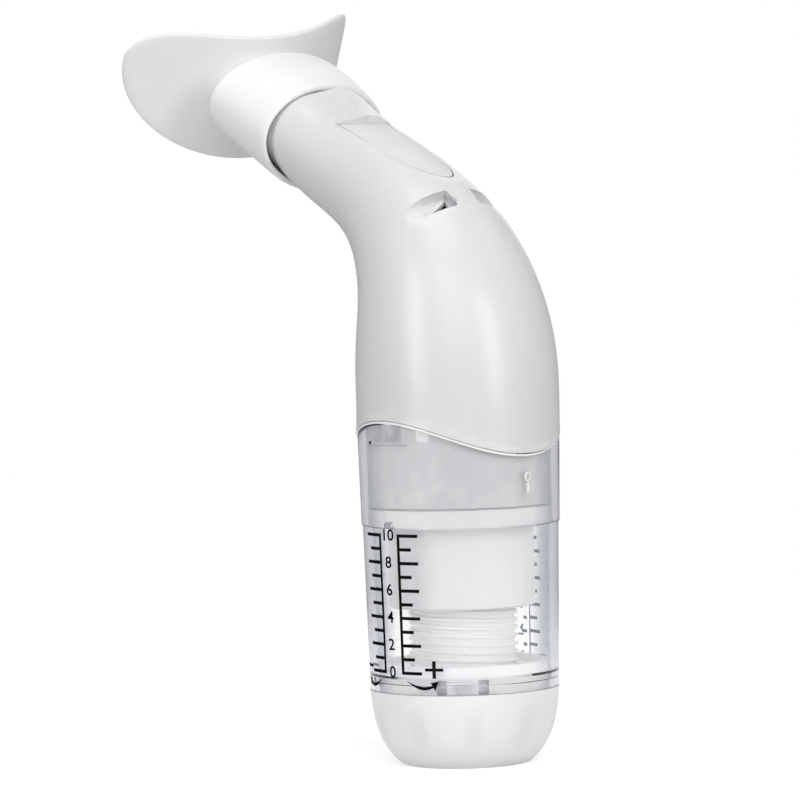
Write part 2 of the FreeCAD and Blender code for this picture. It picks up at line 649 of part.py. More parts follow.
def pegs(side, grow):
    """The two pegs of one clip, or their holes when grown."""
    _, _, ridge = port_frame()
    length = PEG_DEPTH + 2 * BEAD_R + CLIP_T / 2 + grow
    shapes = []
    for end in (-1, 1):
        root_y = side * (bead_y() - BEAD_R - PEG_DEPTH - grow)
        start = clip_middle() + ridge * (end * PEG_AT) + V(0, root_y, 0)
        shapes.append(Part.makeCylinder(PEG_R + grow, length, start, V(0, side, 0)))
    return shapes


def make_exhale_flap(side):
    """One thin soft flap over its port, with the round edge that the clip holds."""
    middle, along, ridge = port_frame()
    y0 = side * (BOSS_Y + SEAT_GAP / 2)
    round_part = Part.makeCylinder(FLAP_R, FLAP_T, middle + V(0, y0, 0), V(0, side, 0))
    tab_middle = middle + along * ((FLAP_R + FLAP_TAB + 1.0) / 2)
    tab = plank(tab_middle, FLAP_TAB_W, FLAP_R + FLAP_TAB - 1.0, y0, y0 + side * FLAP_T)
    start = clip_middle() - ridge * (FLAP_TAB_W / 2) + V(0, side * bead_y(), 0)
    bead = Part.makeCylinder(BEAD_R, FLAP_TAB_W, start, ridge)
    return fused([round_part, tab, bead])


def make_flap_clip(side):
    """One clip: a bar over the flap's round edge with two pegs into the duct."""
    y0 = side * (bead_y() + BEAD_R + SEAT_GAP)
    cap = plank(clip_middle(), CLIP_L, CLIP_W, y0, y0 + side * CLIP_T)
    return fused([cap] + pegs(side, 0.0))


def lip_outline():
    """The lip flange's outline, as points across and up in its own plane."""
    points = []
    steps = 40
    for step in range(steps):
        angle = 2 * math.pi * step / steps
        c, s = math.cos(angle), math.sin(angle)
        share = math.copysign(abs(c) ** (2 / LIP_POWER), c)
        lift = math.copysign(abs(s) ** (2 / LIP_POWER), s)
        across = LIP_R * math.sin(LIP_W * share / LIP_R)
        up = LIP_RISE[0] + LIP_RISE[1] * share ** 2 + (LIP_HALF[0] + LIP_HALF[1] * share ** 2) * lift
        points.append((across, up))
    return points


def make_lip():
    """The thin curved flange that sits inside the lips."""
    angle = math.radians(LIP_LEAN)
    up = V(math.sin(angle), 0, math.cos(angle))
    out = V(math.cos(angle), 0, -math.sin(angle))
    at = V(LIP_AT[0], 0, LIP_AT[1])
    ring = [at + out * 20 + V(0, y, 0) + up * h for y, h in lip_outline()]
    curve = Part.BSplineCurve()
    curve.interpolate(Points=ring, PeriodicFlag=True)
    prism = Part.Face(Part.Wire(curve.toShape())).extrude(out * -80)
    hinge = at - out * LIP_R - up * 60
    big = Part.makeCylinder(LIP_R, 120, hinge, up)
    small = Part.makeCylinder(LIP_R - LIP_T, 120, hinge, up)
    return big.cut(small).common(prism)


def make_mouthpiece():
    """The soft mouthpiece: collar over the neck, bore for the snout and lip flange."""
    angle = math.radians(LIP_LEAN)
    out = V(math.cos(angle), 0, -math.sin(angle))
    up = V(math.sin(angle), 0, math.cos(angle))
    behind = LIP_AT[0] - MOUTH_SINK * out.x, LIP_AT[1] - MOUTH_SINK * out.z
    base = behind + (LIP_LEAN, MOUTH_ROOT[3] - 0.6, MOUTH_ROOT[4] - 0.2)
    ovals = [mouth_oval(section) for section in (MOUTH_RIM, MOUTH_WAIST, MOUTH_ROOT, base)]
    collar = Part.makeLoft(ovals, True, False)
    at = V(LIP_AT[0], 0, LIP_AT[1])
    hinge = at - out * LIP_R - up * 60
    collar = collar.cut(Part.makeCylinder(LIP_R - LIP_T * 0.5, 120, hinge, up))
    body = collar.fuse(make_lip())
    neck = SHELL_SECTIONS[-1]
    along, _ = lean_axes(neck[2])
    pocket = Part.Face(oval(shifted(neck, -14), SOFT_GAP + 0.5)).extrude(along * (14 + SOFT_GAP))
    last = DUCT_SECTIONS[-1]
    snout = Part.Face(oval(last, SOFT_GAP)).extrude(along * (SNOUT_L + SOFT_GAP))
    mouth = (last[0], last[1], last[2], MOUTH_BORE[0], MOUTH_BORE[1])
    bore = Part.Face(oval(mouth)).extrude(along * 40)
    return body.cut(pocket).cut(snout).cut(bore).removeSplitter()


def mouth_oval(section):
    """An oval of the mouthpiece, whose lean is measured from upright to its plane."""
    x, z, lean, half_height, half_width = section
    return oval((x, z, 90 - lean, half_height, half_width))


PARTS = {
    "tension_knob": make_tension_knob,
    "scale_sleeve": make_scale_sleeve,
    "valve_housing": make_valve_housing,
    "duct_seal": make_duct_seal,
    "handle_seal": make_handle_seal,
    "poppet_disc": make_poppet_disc,
    "poppet_seal": make_poppet_seal,
    "stem_screw": make_stem_screw,
    "lead_screw": make_lead_screw,
    "spring_cup": make_spring_cup,
    "load_spring": make_load_spring,
    "spring_washer": make_spring_washer,
    "handle_shell": make_handle_shell,
    "thumb_pad": make_thumb_pad,
    "airway_duct": make_airway_duct,
    "exhale_flap_left": lambda: make_exhale_flap(1),
    "exhale_flap_right": lambda: make_exhale_flap(-1),
    "flap_clip_left": lambda: make_flap_clip(1),
    "flap_clip_right": lambda: make_flap_clip(-1),
    "mouthpiece": make_mouthpiece,
}

os.makedirs("parts", exist_ok=True)
for name, make in PARTS.items():
    shape = make()
    print(name, "solids", len(shape.Solids), "valid", shape.isValid(), "volume", round(shape.Volume, 1))
    shape.exportStep("parts/" + name + ".step")
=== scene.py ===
"""Looks for a hand-held breathing trainer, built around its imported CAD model.

Every length is in metres, in the row frame: +Z runs up the barrel, the mouthpiece points
to -X and the XZ plane is the plane of symmetry.
"""

from __future__ import annotations

import logging
import math
from dataclasses import dataclass, field
from enum import Enum
from typing import Callable, Iterable, Sequence

import bmesh
import bpy
import numpy as np
from mathutils import Matrix, Vector


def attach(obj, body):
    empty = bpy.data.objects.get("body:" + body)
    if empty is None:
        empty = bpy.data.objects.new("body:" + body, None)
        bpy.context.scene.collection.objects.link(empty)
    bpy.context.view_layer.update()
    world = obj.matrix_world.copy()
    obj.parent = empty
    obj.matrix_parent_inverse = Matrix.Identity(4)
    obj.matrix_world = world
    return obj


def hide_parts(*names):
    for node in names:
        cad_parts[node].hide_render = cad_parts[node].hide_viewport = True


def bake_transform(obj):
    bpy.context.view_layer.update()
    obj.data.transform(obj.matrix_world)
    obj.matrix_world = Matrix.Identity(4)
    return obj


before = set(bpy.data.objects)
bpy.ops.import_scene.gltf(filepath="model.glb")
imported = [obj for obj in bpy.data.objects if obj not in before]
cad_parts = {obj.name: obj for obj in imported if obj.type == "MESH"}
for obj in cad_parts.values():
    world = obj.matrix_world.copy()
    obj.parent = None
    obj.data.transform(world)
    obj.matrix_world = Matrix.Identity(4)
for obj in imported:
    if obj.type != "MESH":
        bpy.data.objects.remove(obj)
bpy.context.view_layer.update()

LOG = logging.getLogger("breathing_trainer")
MM = 0.001
PICTURE_SIDE = 800

Socket = bpy.types.NodeSocket
Value = float | Sequence[float] | Socket
Points = np.ndarray
Skin = tuple[Points, list[tuple[int, ...]]]


class Bodies(str, Enum):
    """The CAD bodies that pieces ride on."""

    SLEEVE = "sleeve"
    KNOB = "knob"
    POPPET = "poppet"
    SCREW = "screw"
    CUP = "cup"
    HANDLE = "handle"
    FLAP_LEFT = "flap_left"
    FLAP_RIGHT = "flap_right"
    MOUTH = "mouth"


class Slots(str, Enum):
    """The record's material slots."""

    SILICONE = "silicone_white"
    SHELL = "shell_grey"
    PAD = "pad_soft"
    CLEAR = "clear"
    WHITE = "white_plastic"
    SEAL = "seal_rubber"
    SPRING = "spring_steel"


class Side(Enum):
    """The two sides of the sleeve that carry a scale, by the turn from the first."""

    NEAR = 0.0
    FAR = 186.6


# Shader nodes


@dataclass
class NodeBench:
    """A short hand for building one node tree."""

    tree: bpy.types.NodeTree

    def add(self, kind: str, out: int | str = 0, **values: Value) -> Socket:
        """Adds a node and returns one of its outputs.

        Args:
            kind: the node's type name, without the words ShaderNode.
            out: which output to return.
            values: attributes of the node, and its inputs as i0, i1 or by name.

        Returns:
            The chosen output socket.
        """
        node = self.tree.nodes.new("ShaderNode" + kind)
        for key, value in values.items():
            if key.startswith("i") and key[1:].isdigit():
                self.feed(node.inputs[int(key[1:])], value)
            elif hasattr(node, key):
                setattr(node, key, value)
            else:
                self.feed(node.inputs[key.replace("_", " ").title()], value)
        return node.outputs[out]

    def feed(self, target: Socket, value: Value) -> None:
        """Links a socket to an input, or sets the input's own value."""
        if isinstance(value, bpy.types.NodeSocket):
            self.tree.links.new(value, target)
        else:
            target.default_value = value

    def maths(self, operation: str, first: Value, second: Value = 0.0) -> Socket:
        """One Math node."""
        return self.add("Math", operation=operation, i0=first, i1=second)

    def ranged(self, value: Socket, low: float, high: float,
               to: tuple[float, float] = (0.0, 1.0)) -> Socket:
        """One Map Range node, clamped."""
        return self.add("MapRange", i0=value, i1=low, i2=high, i3=to[0], i4=to[1])

    def bumped(self, strength: float, depth: float, height: Socket) -> Socket:
        """One Bump node's normal."""
        return self.add("Bump", Strength=strength, Distance=depth, Height=height)

    def mixed(self, share: Value, first: Value, second: Value) -> Socket:
        """One colour Mix node.

        Args:
            share: how much of the second colour.
            first: the first colour.
            second: the second colour.

        Returns:
            The mixed colour.
        """
        node = self.tree.nodes.new("ShaderNodeMix")
        node.data_type = "RGBA"
        self.feed(node.inputs[0], share)
        self.feed(node.inputs[6], first)
        self.feed(node.inputs[7], second)
        return node.outputs[2]


@dataclass
class EffectGroup:
    """A shader node group with named inputs and outputs, built once."""

    name: str
    inputs: dict[str, tuple[str, float]]
    outputs: dict[str, str]
    build: Callable[[NodeBench, dict[str, Socket]], dict[str, Socket]]
    tree: bpy.types.NodeTree | None = None

    def made(self) -> bpy.types.NodeTree:
        """The group's tree, built at its first use."""
        if self.tree is not None:
            return self.tree
        tree = bpy.data.node_groups.new(self.name, "ShaderNodeTree")
        for label, (kind, value) in self.inputs.items():
            socket = tree.interface.new_socket(label, in_out="INPUT", socket_type=kind)
            if kind == "NodeSocketFloat":
                socket.default_value = value
        for label, kind in self.outputs.items():
            tree.interface.new_socket(label, in_out="OUTPUT", socket_type=kind)
        entry = tree.nodes.new("NodeGroupInput")
        leave = tree.nodes.new("NodeGroupOutput")
        found = {s.name: s for s in entry.outputs if s.name}
        for label, socket in self.build(NodeBench(tree), found).items():
            tree.links.new(socket, leave.inputs[label])
        self.tree = tree
        return tree

    def placed(self, bench: NodeBench, **values: Value) -> dict[str, Socket]:
        """Places the group in a material.

        Args:
            bench: the material's nodes.
            values: the group's inputs by name.

        Returns:
            The group's outputs by name.
        """
        node = bench.tree.nodes.new("ShaderNodeGroup")
        node.node_tree = self.made()
        for label, value in values.items():
            bench.feed(node.inputs[label], value)
        return {s.name: s for s in node.outputs}


FLOW_SCALE = 55.0
GRAIN_SHARE = 0.7
EDGE_POINTINESS = (0.505, 0.56)
# Pointiness at which hollows darken with painted shade.
HOLLOW_POINTINESS = (0.49, 0.44)
SCUFF_STRETCH = (60.0, 60.0, 1400.0)
SMEAR_SCALE = 38.0
FLUTES = 10
FLUTE_FOOT = (0.0035, 0.008)
FLUTE_TOP = (0.0165, 0.0115)
# Levels above which the knob, inside its collar, is painted pale and glows faintly: painted light.
PAINTED_LIGHT_LEVELS = (0.0226, 0.0232)
FINE_BUMP = 0.00002


def build_mould_skin(bench: NodeBench, given: dict[str, Socket]) -> dict[str, Socket]:
    """The skin of moulded plastic: a fine even grain and a broad, faint change of tone."""
    point = given["Point"]
    grain = bench.add("TexNoise", Vector=point, Scale=given["Grain"], Detail=3.0, Roughness=0.6)
    broad = bench.add("TexNoise", Vector=point, Scale=given["Broad"], Detail=2.0, Roughness=0.5)
    flow = bench.add("TexNoise", Vector=point, Scale=FLOW_SCALE, Detail=1.0, Distortion=0.6)
    fine = bench.maths("MULTIPLY", grain, GRAIN_SHARE)
    return {
        "Height": bench.maths("ADD", fine, bench.maths("MULTIPLY", flow, 1.0 - GRAIN_SHARE)),
        "Tone": bench.ranged(broad, 0.1, 0.9),
        "Sheen": bench.ranged(grain, 0.2, 0.8),
    }


def build_edge_wear_and_hollow_shade(bench: NodeBench, given: dict[str, Socket]) -> dict[str, Socket]:
    """Where a hand has polished edges and corners, and the painted shade that darkens hollows, both
    broken up by noise.
    """
    point = bench.add("NewGeometry", out="Pointiness")
    edge = bench.ranged(point, *EDGE_POINTINESS)
    hollow = bench.ranged(point, *HOLLOW_POINTINESS)
    noise = bench.add("TexNoise", Vector=given["Point"], Scale=given["Break"], Detail=4.0)
    return {
        "Edge": bench.maths("MULTIPLY", edge, bench.ranged(noise, 0.35, 0.65)),
        # Hollows: painted shade, darker where the surface curves in.
        "HollowShade": bench.maths("MULTIPLY", hollow, bench.ranged(noise, 0.3, 0.55)),
    }


def build_fine_marks(bench: NodeBench, given: dict[str, Socket]) -> dict[str, Socket]:
    """Hair-fine scuffs round the barrel, and the soft smears that fingers leave."""
    stretched = bench.add("Mapping", i0=given["Point"], i3=SCUFF_STRETCH)
    scuff = bench.add("TexNoise", Vector=stretched, Scale=1.0, Detail=3.0, Roughness=0.7)
    smear = bench.add("TexNoise", Vector=given["Point"], Scale=SMEAR_SCALE, Detail=1.0)
    return {
        "Scuff": bench.maths("MULTIPLY", bench.ranged(scuff, 0.58, 0.72), given["Amount"]),
        "Smear": bench.maths("MULTIPLY", bench.ranged(smear, 0.25, 0.9), given["Amount"]),
    }


def build_flute_shade(bench: NodeBench, given: dict[str, Socket]) -> dict[str, Socket]:
    """The soft shade painted in the knob's ten flutes, and the light painted on the knob inside its
    collar.
    """
    apart = bench.tree.nodes.new("ShaderNodeSeparateXYZ")
    bench.feed(apart.inputs[0], given["Point"])
    turn = bench.maths("ARCTAN2", apart.outputs[1], apart.outputs[0])
    wave = bench.maths("COSINE", bench.maths("MULTIPLY", turn, FLUTES))
    level = apart.outputs[2]
    low = bench.ranged(level, *FLUTE_FOOT)
    high = bench.ranged(level, *FLUTE_TOP)
    band = bench.maths("MULTIPLY", low, high)
    return {
        # Painted shade in the flutes.
        "Depth": bench.maths("MULTIPLY", bench.ranged(wave, 0.1, 1.0), band),
        # Painted light on the knob inside its collar.
        "Inside": bench.ranged(level, *PAINTED_LIGHT_LEVELS),
    }


FLOAT = "NodeSocketFloat"
VECTOR = "NodeSocketVector"
MOULD_SKIN = EffectGroup(
    "mould_skin",
    {"Point": (VECTOR, 0.0), "Grain": (FLOAT, 2500.0), "Broad": (FLOAT, 30.0)},
    {"Height": FLOAT, "Tone": FLOAT, "Sheen": FLOAT},
    build_mould_skin,
)
EDGE_WEAR_AND_HOLLOW_SHADE = EffectGroup(
    "edge_wear_and_hollow_shade",
    {"Point": (VECTOR, 0.0), "Break": (FLOAT, 300.0)},
    {"Edge": FLOAT, "HollowShade": FLOAT},
    build_edge_wear_and_hollow_shade,
)
FINE_MARKS = EffectGroup(
    "fine_marks",
    {"Point": (VECTOR, 0.0), "Amount": (FLOAT, 1.0)},
    {"Scuff": FLOAT, "Smear": FLOAT},
    build_fine_marks,
)
FLUTE_SHADE_AND_INNER_LIGHT = EffectGroup(
    "flute_shade",
    {"Point": (VECTOR, 0.0)},
    {"Depth": FLOAT, "Inside": FLOAT},
    build_flute_shade,
)


def new_material(name: str) -> tuple[bpy.types.Material, NodeBench, bpy.types.Node]:
    """A new material, its nodes and its Principled node."""
    material = bpy.data.materials.new(name)
    material.use_nodes = True
    return material, NodeBench(material.node_tree), material.node_tree.nodes["Principled BSDF"]


def set_inputs(shader: bpy.types.Node, values: dict[str, float | Sequence[float]]) -> None:
    """Sets plain values on a node's inputs by their names."""
    for label, value in values.items():
        shader.inputs[label].default_value = value


@dataclass(frozen=True)
class Finish:
    """A moulded or soft finish, in linear colours.

    The colour wanders between tone_low and tone_high, edges go to edge_tone, and hollows darken
    to a painted shade; the roughness wanders over its range. A knob's finish also paints shade
    into its flutes, and paints light with a faint glow on its parts inside the collar.
    """

    name: str
    tone_low: tuple[float, float, float]
    tone_high: tuple[float, float, float]
    edge_tone: tuple[float, float, float]
    # The colour of the painted shade in hollows.
    hollow_shade_tone: tuple[float, float, float]
    roughness: tuple[float, float] = (0.35, 0.45)
    grain: float = 2500.0
    broad: float = 30.0
    bump: float = 0.08
    specular: float = 0.5
    subsurface: float = 0.0
    subsurface_radius: tuple[float, float, float] = (0.004, 0.0035, 0.003)
    sheen: float = 0.0
    marks: float = 0.5
    flutes: float = 0.0
    # The colour of the painted shade in the knob's flutes.
    flute_shade_tone: tuple[float, float, float] = (0.0, 0.0, 0.01)
    # A pale tone and a faint glow: painted light on the knob inside its collar.
    painted_inner_tone: tuple[float, float, float] = (0.97, 0.965, 0.975)
    painted_glow_tone: tuple[float, float, float] = (1.0, 0.985, 1.0)
    painted_glow_strength: float = 0.12
    metallic: float = 0.0
    ior: float = 1.46

    def made(self) -> bpy.types.Material:
        """The finish as a material."""
        found = bpy.data.materials.get(self.name)
        if found is not None:
            return found
        material, bench, shader = new_material(self.name)
        point = bench.add("TexCoord", out="Object")
        skin = MOULD_SKIN.placed(bench, Point=point, Grain=self.grain, Broad=self.broad)
        wear_and_shade = EDGE_WEAR_AND_HOLLOW_SHADE.placed(bench, Point=point)
        marks = FINE_MARKS.placed(bench, Point=point, Amount=self.marks)
        tone = bench.mixed(skin["Tone"], (*self.tone_low, 1.0), (*self.tone_high, 1.0))
        tone = bench.mixed(wear_and_shade["Edge"], tone, (*self.edge_tone, 1.0))
        # Hollows darken towards the hollow tone: painted shade.
        tone = bench.mixed(wear_and_shade["HollowShade"], tone, (*self.hollow_shade_tone, 1.0))
        if self.flutes:
            shade = FLUTE_SHADE_AND_INNER_LIGHT.placed(bench, Point=point)
            # Painted shade darkens the flutes.
            depth = bench.maths("MULTIPLY", shade["Depth"], self.flutes)
            tone = bench.mixed(depth, tone, (*self.flute_shade_tone, 1.0))
            # Inside the collar the knob is painted pale and glows faintly: painted light, not a lamp.
            tone = bench.mixed(shade["Inside"], tone, (*self.painted_inner_tone, 1.0))
            glow = bench.mixed(shade["Inside"], (0.0, 0.0, 0.0, 1.0), (*self.painted_glow_tone, 1.0))
            bench.feed(shader.inputs["Emission Color"], glow)
            shader.inputs["Emission Strength"].default_value = self.painted_glow_strength
        bench.feed(shader.inputs["Base Color"], tone)
        low, high = self.roughness
        rough = bench.ranged(skin["Sheen"], 0.0, 1.0, (low, high))
        rough = bench.maths("ADD", rough, bench.maths("MULTIPLY", marks["Smear"], 0.04))
        bench.feed(shader.inputs["Roughness"], rough)
        height = bench.maths("SUBTRACT", skin["Height"], bench.maths("MULTIPLY", marks["Scuff"], 0.5))
        bench.feed(shader.inputs["Normal"], bench.bumped(self.bump, FINE_BUMP, height))
        set_inputs(shader, {
            "Specular IOR Level": self.specular,
            "Subsurface Weight": self.subsurface,
            "Subsurface Radius": self.subsurface_radius,
            "Subsurface Scale": 1.0,
            "Sheen Weight": self.sheen,
            "Metallic": self.metallic,
            "IOR": self.ior,
        })
        return material


@dataclass(frozen=True)
class ClearFinish:
    """Clear moulded plastic with faint scuffs."""

    name: str
    tone: tuple[float, float, float]
    roughness: tuple[float, float] = (0.015, 0.06)
    ior: float = 1.49
    bump: float = 0.03
    edge_tone: tuple[float, float, float] = (0.42, 0.435, 0.5)
    edge_from: float = 0.32
    edge_to: float = 0.56
    murk: tuple[float, float, float] = (0.42, 0.44, 0.52)
    murk_density: float = 12.0

    def made(self) -> bpy.types.Material:
        """The finish as a material."""
        material, bench, shader = new_material(self.name)
        point = bench.add("TexCoord", out="Object")
        skin = MOULD_SKIN.placed(bench, Point=point, Grain=700.0, Broad=25.0)
        marks = FINE_MARKS.placed(bench, Point=point, Amount=1.0)
        paler = tuple(min(1.0, c * 1.02) for c in self.tone)
        tone = bench.mixed(skin["Tone"], (*self.tone, 1.0), (*paler, 1.0))
        facing = bench.add("LayerWeight", out="Facing", Blend=0.5)
        edge = bench.ranged(facing, self.edge_from, self.edge_to)
        bench.feed(shader.inputs["Base Color"], bench.mixed(edge, tone, (*self.edge_tone, 1.0)))
        low, high = self.roughness
        bench.feed(shader.inputs["Roughness"], bench.ranged(marks["Scuff"], 0.0, 1.0, (low, high)))
        bench.feed(shader.inputs["Normal"], bench.bumped(self.bump, FINE_BUMP, skin["Height"]))
        set_inputs(shader, {"Transmission Weight": 1.0, "IOR": self.ior})
        absorb = material.node_tree.nodes.new("ShaderNodeVolumeAbsorption")
        set_inputs(absorb, {"Color": (*self.murk, 1.0), "Density": self.murk_density})
        output = material.node_tree.nodes["Material Output"]
        material.node_tree.links.new(absorb.outputs[0], output.inputs["Volume"])
        return material


SHELL_PLASTIC = Finish(
    "shell_plastic", (0.7, 0.707, 0.717), (0.728, 0.735, 0.745),
    (0.81, 0.815, 0.82), (0.48, 0.48, 0.5),
    roughness=(0.24, 0.32), bump=0.05, specular=0.5, marks=0.25)
PAD_RUBBER = Finish(
    "pad_rubber", (0.7, 0.705, 0.705), (0.74, 0.74, 0.735),
    (0.77, 0.77, 0.77), (0.5, 0.48, 0.45),
    roughness=(0.5, 0.62), grain=1800.0, bump=0.15, specular=0.35, subsurface=0.1, sheen=0.15)
# The pad's rounded edge and sunk side, painted dark: painted shade of the recess round the pad.
PAD_EDGE_SHADE = Finish(
    "pad_edge_shade", (0.42, 0.39, 0.33), (0.47, 0.44, 0.38),
    (0.5, 0.47, 0.41), (0.34, 0.31, 0.26),
    roughness=(0.55, 0.65), bump=0.1, specular=0.25)
WHITE_PLASTIC = Finish(
    "white_plastic", (0.84, 0.84, 0.845), (0.875, 0.875, 0.88),
    (0.9, 0.9, 0.9), (0.62, 0.62, 0.64),
    roughness=(0.32, 0.42))
# Its flutes take painted shade, and its parts inside the collar take painted light.
KNOB_PLASTIC = Finish(
    "knob_plastic", (0.83, 0.83, 0.836), (0.865, 0.865, 0.87),
    (0.89, 0.89, 0.89), (0.62, 0.62, 0.64),
    roughness=(0.3, 0.4), flutes=0.075)
COLLAR_SILICONE = Finish(
    "collar_silicone", (0.87, 0.87, 0.87), (0.9, 0.9, 0.9),
    (0.92, 0.92, 0.92), (0.7, 0.7, 0.69),
    roughness=(0.42, 0.5), grain=1500.0, bump=0.06, subsurface=0.3, sheen=0.1)
LIP_SILICONE = Finish(
    "lip_silicone", (0.82, 0.812, 0.808), (0.85, 0.842, 0.838),
    (0.88, 0.875, 0.87), (0.7, 0.69, 0.685),
    roughness=(0.4, 0.5), grain=1500.0, bump=0.06, subsurface=0.4, sheen=0.1)
SEAL_RUBBER = Finish(
    "seal_rubber", (0.52, 0.53, 0.54), (0.58, 0.59, 0.6),
    (0.62, 0.63, 0.64), (0.4, 0.41, 0.42),
    roughness=(0.6, 0.7), bump=0.1, specular=0.3)
SPRING_STEEL = Finish(
    "spring_steel", (0.5, 0.5, 0.51), (0.58, 0.58, 0.59),
    (0.7, 0.7, 0.7), (0.3, 0.3, 0.31),
    roughness=(0.22, 0.34), metallic=1.0, marks=1.0)
PRINT_INK = Finish(
    "print_ink", (0.004, 0.004, 0.005), (0.007, 0.007, 0.008),
    (0.012, 0.012, 0.012), (0.004, 0.004, 0.004),
    roughness=(0.7, 0.8), specular=0.0, marks=0.2)
PRINT_BACK = Finish(
    "print_back", (0.42, 0.5, 0.64), (0.46, 0.54, 0.68),
    (0.5, 0.58, 0.7), (0.35, 0.42, 0.54),
    roughness=(0.7, 0.8), specular=0.0, marks=0.2)
# Pale opaque plastic on the clear sleeve: a painted highlight on its rim bead and moulded mark.
RIM_HIGHLIGHT_PLASTIC = Finish(
    "rim_highlight_plastic", (0.86, 0.865, 0.87), (0.9, 0.9, 0.905),
    (0.93, 0.93, 0.93), (0.6, 0.6, 0.62),
    roughness=(0.12, 0.2), marks=0.2)
# Purple grey behind the collar's windows: painted shade of the collar's inside.
COLLAR_BACK_SHADE = Finish(
    "collar_back_shade", (0.64, 0.61, 0.67), (0.69, 0.66, 0.72),
    (0.74, 0.72, 0.76), (0.5, 0.48, 0.53),
    roughness=(0.4, 0.5), marks=0.2)
# A thin grey line of painted shade at each snap.
SLOT_SHADE = Finish(
    "slot_shade", (0.4, 0.405, 0.42), (0.45, 0.455, 0.47),
    (0.5, 0.5, 0.51), (0.35, 0.35, 0.36),
    roughness=(0.4, 0.5), marks=0.2)
CLEAR_PLASTIC = ClearFinish("clear_plastic", (0.985, 0.988, 0.99))


# Meshes


def linked(name: str, data: bpy.types.ID) -> bpy.types.Object:
    """A new object in the scene."""
    made = bpy.data.objects.new(name, data)
    bpy.context.scene.collection.objects.link(made)
    return made


def mesh_object(name: str, points: Points, faces: Iterable[Sequence[int]],
                smooth: bool = True) -> bpy.types.Object:
    """A new mesh object in the scene.

    Args:
        name: the piece's name.
        points: one row for each vertex, in metres.
        faces: the vertex numbers of each face.
        smooth: whether faces are shaded smooth.

    Returns:
        The object.
    """
    mesh = bpy.data.meshes.new(name)
    corners = [tuple(map(int, face)) for face in faces]
    mesh.from_pydata([tuple(map(float, point)) for point in points], [], corners)
    tidy = bmesh.new()
    tidy.from_mesh(mesh)
    bmesh.ops.recalc_face_normals(tidy, faces=tidy.faces)
    tidy.to_mesh(mesh)
    tidy.free()
    mesh.update()
    if smooth:
        mesh.shade_smooth()
    return linked(name, mesh)


def ring_faces(rows: int, count: int, closed: bool = False) -> list[tuple[int, int, int, int]]:
    """Quads that join rings of points into a sleeve.

    Args:
        rows: the number of rings.
        count: the number of points in each ring.
        closed: whether the last ring joins the first.

    Returns:
        The quads' vertex numbers.
    """
    faces = []
    for row in range(rows if closed else rows - 1):
        here, after = row * count, (row + 1) % rows * count
        for step in range(count):
            turn = (step + 1) % count
            faces.append((here + step, here + turn, after + turn, after + step))
    return faces


def full_turn(count: int) -> Points:
    """Bearings that go once round, in radians."""
    return np.linspace(0.0, 2 * math.pi, count, endpoint=False)


def polar(reach: Points, turn: Points, level: Points) -> Points:
    """Points round the barrel's axis, from their reach, their bearing in radians and their level."""
    flat = np.broadcast_arrays(reach * np.cos(turn), reach * np.sin(turn), level)
    return np.stack(flat, axis=-1).reshape(-1, 3)


def merged(skins: Iterable[Skin]) -> Skin:
    """Several sets of points and faces as one."""
    points, faces, start = [], [], 0
    for more, joins in skins:
        points.append(more)
        faces += [tuple(start + corner for corner in face) for face in joins]
        start += len(more)
    return np.vstack(points), faces


def node_points(name: str) -> Points:
    """The points of a CAD node's mesh, in millimetres."""
    return np.array([v.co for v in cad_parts[name].data.vertices], float) / MM


def node_room(name: str) -> tuple[float, float, float, float]:
    """The least and greatest reach of a CAD node, and its lowest and highest level."""
    points = node_points(name)
    reach = np.hypot(points[:, 0], points[:, 1])
    return reach.min(), reach.max(), points[:, 2].min(), points[:, 2].max()


def subdivided(piece: bpy.types.Object, levels: int = 1) -> bpy.types.Object:
    """Adds a subdivision surface to a piece."""
    modifier = piece.modifiers.new("smooth_form", "SUBSURF")
    modifier.levels = levels
    modifier.render_levels = levels
    return piece


@dataclass
class Piece:
    """What a made piece rides on, stands for and is finished as.

    A piece may have no body of its own.
    """

    body: Bodies | None
    slot: Slots
    finish: Finish | ClearFinish

    def dress(self, piece: bpy.types.Object, *nodes: str) -> bpy.types.Object:
        """Gives a piece its material and body, and hides the CAD nodes that it replaces."""
        piece.data.materials.clear()
        piece.data.materials.append(self.finish.made())
        if self.body is not None:
            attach(piece, self.body.value)
        if nodes:
            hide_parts(*nodes)
        LOG.info("%s rides on %s", piece.name, self.body or "two bodies")
        return piece


def finish_faces(piece: bpy.types.Object, finish: Finish,
                 chosen: Callable[[bpy.types.MeshPolygon], bool]) -> None:
    """Gives the chosen faces of a piece a second finish."""
    piece.data.materials.append(finish.made())
    for polygon in piece.data.polygons:
        polygon.material_index = int(chosen(polygon))


# The soft mouthpiece


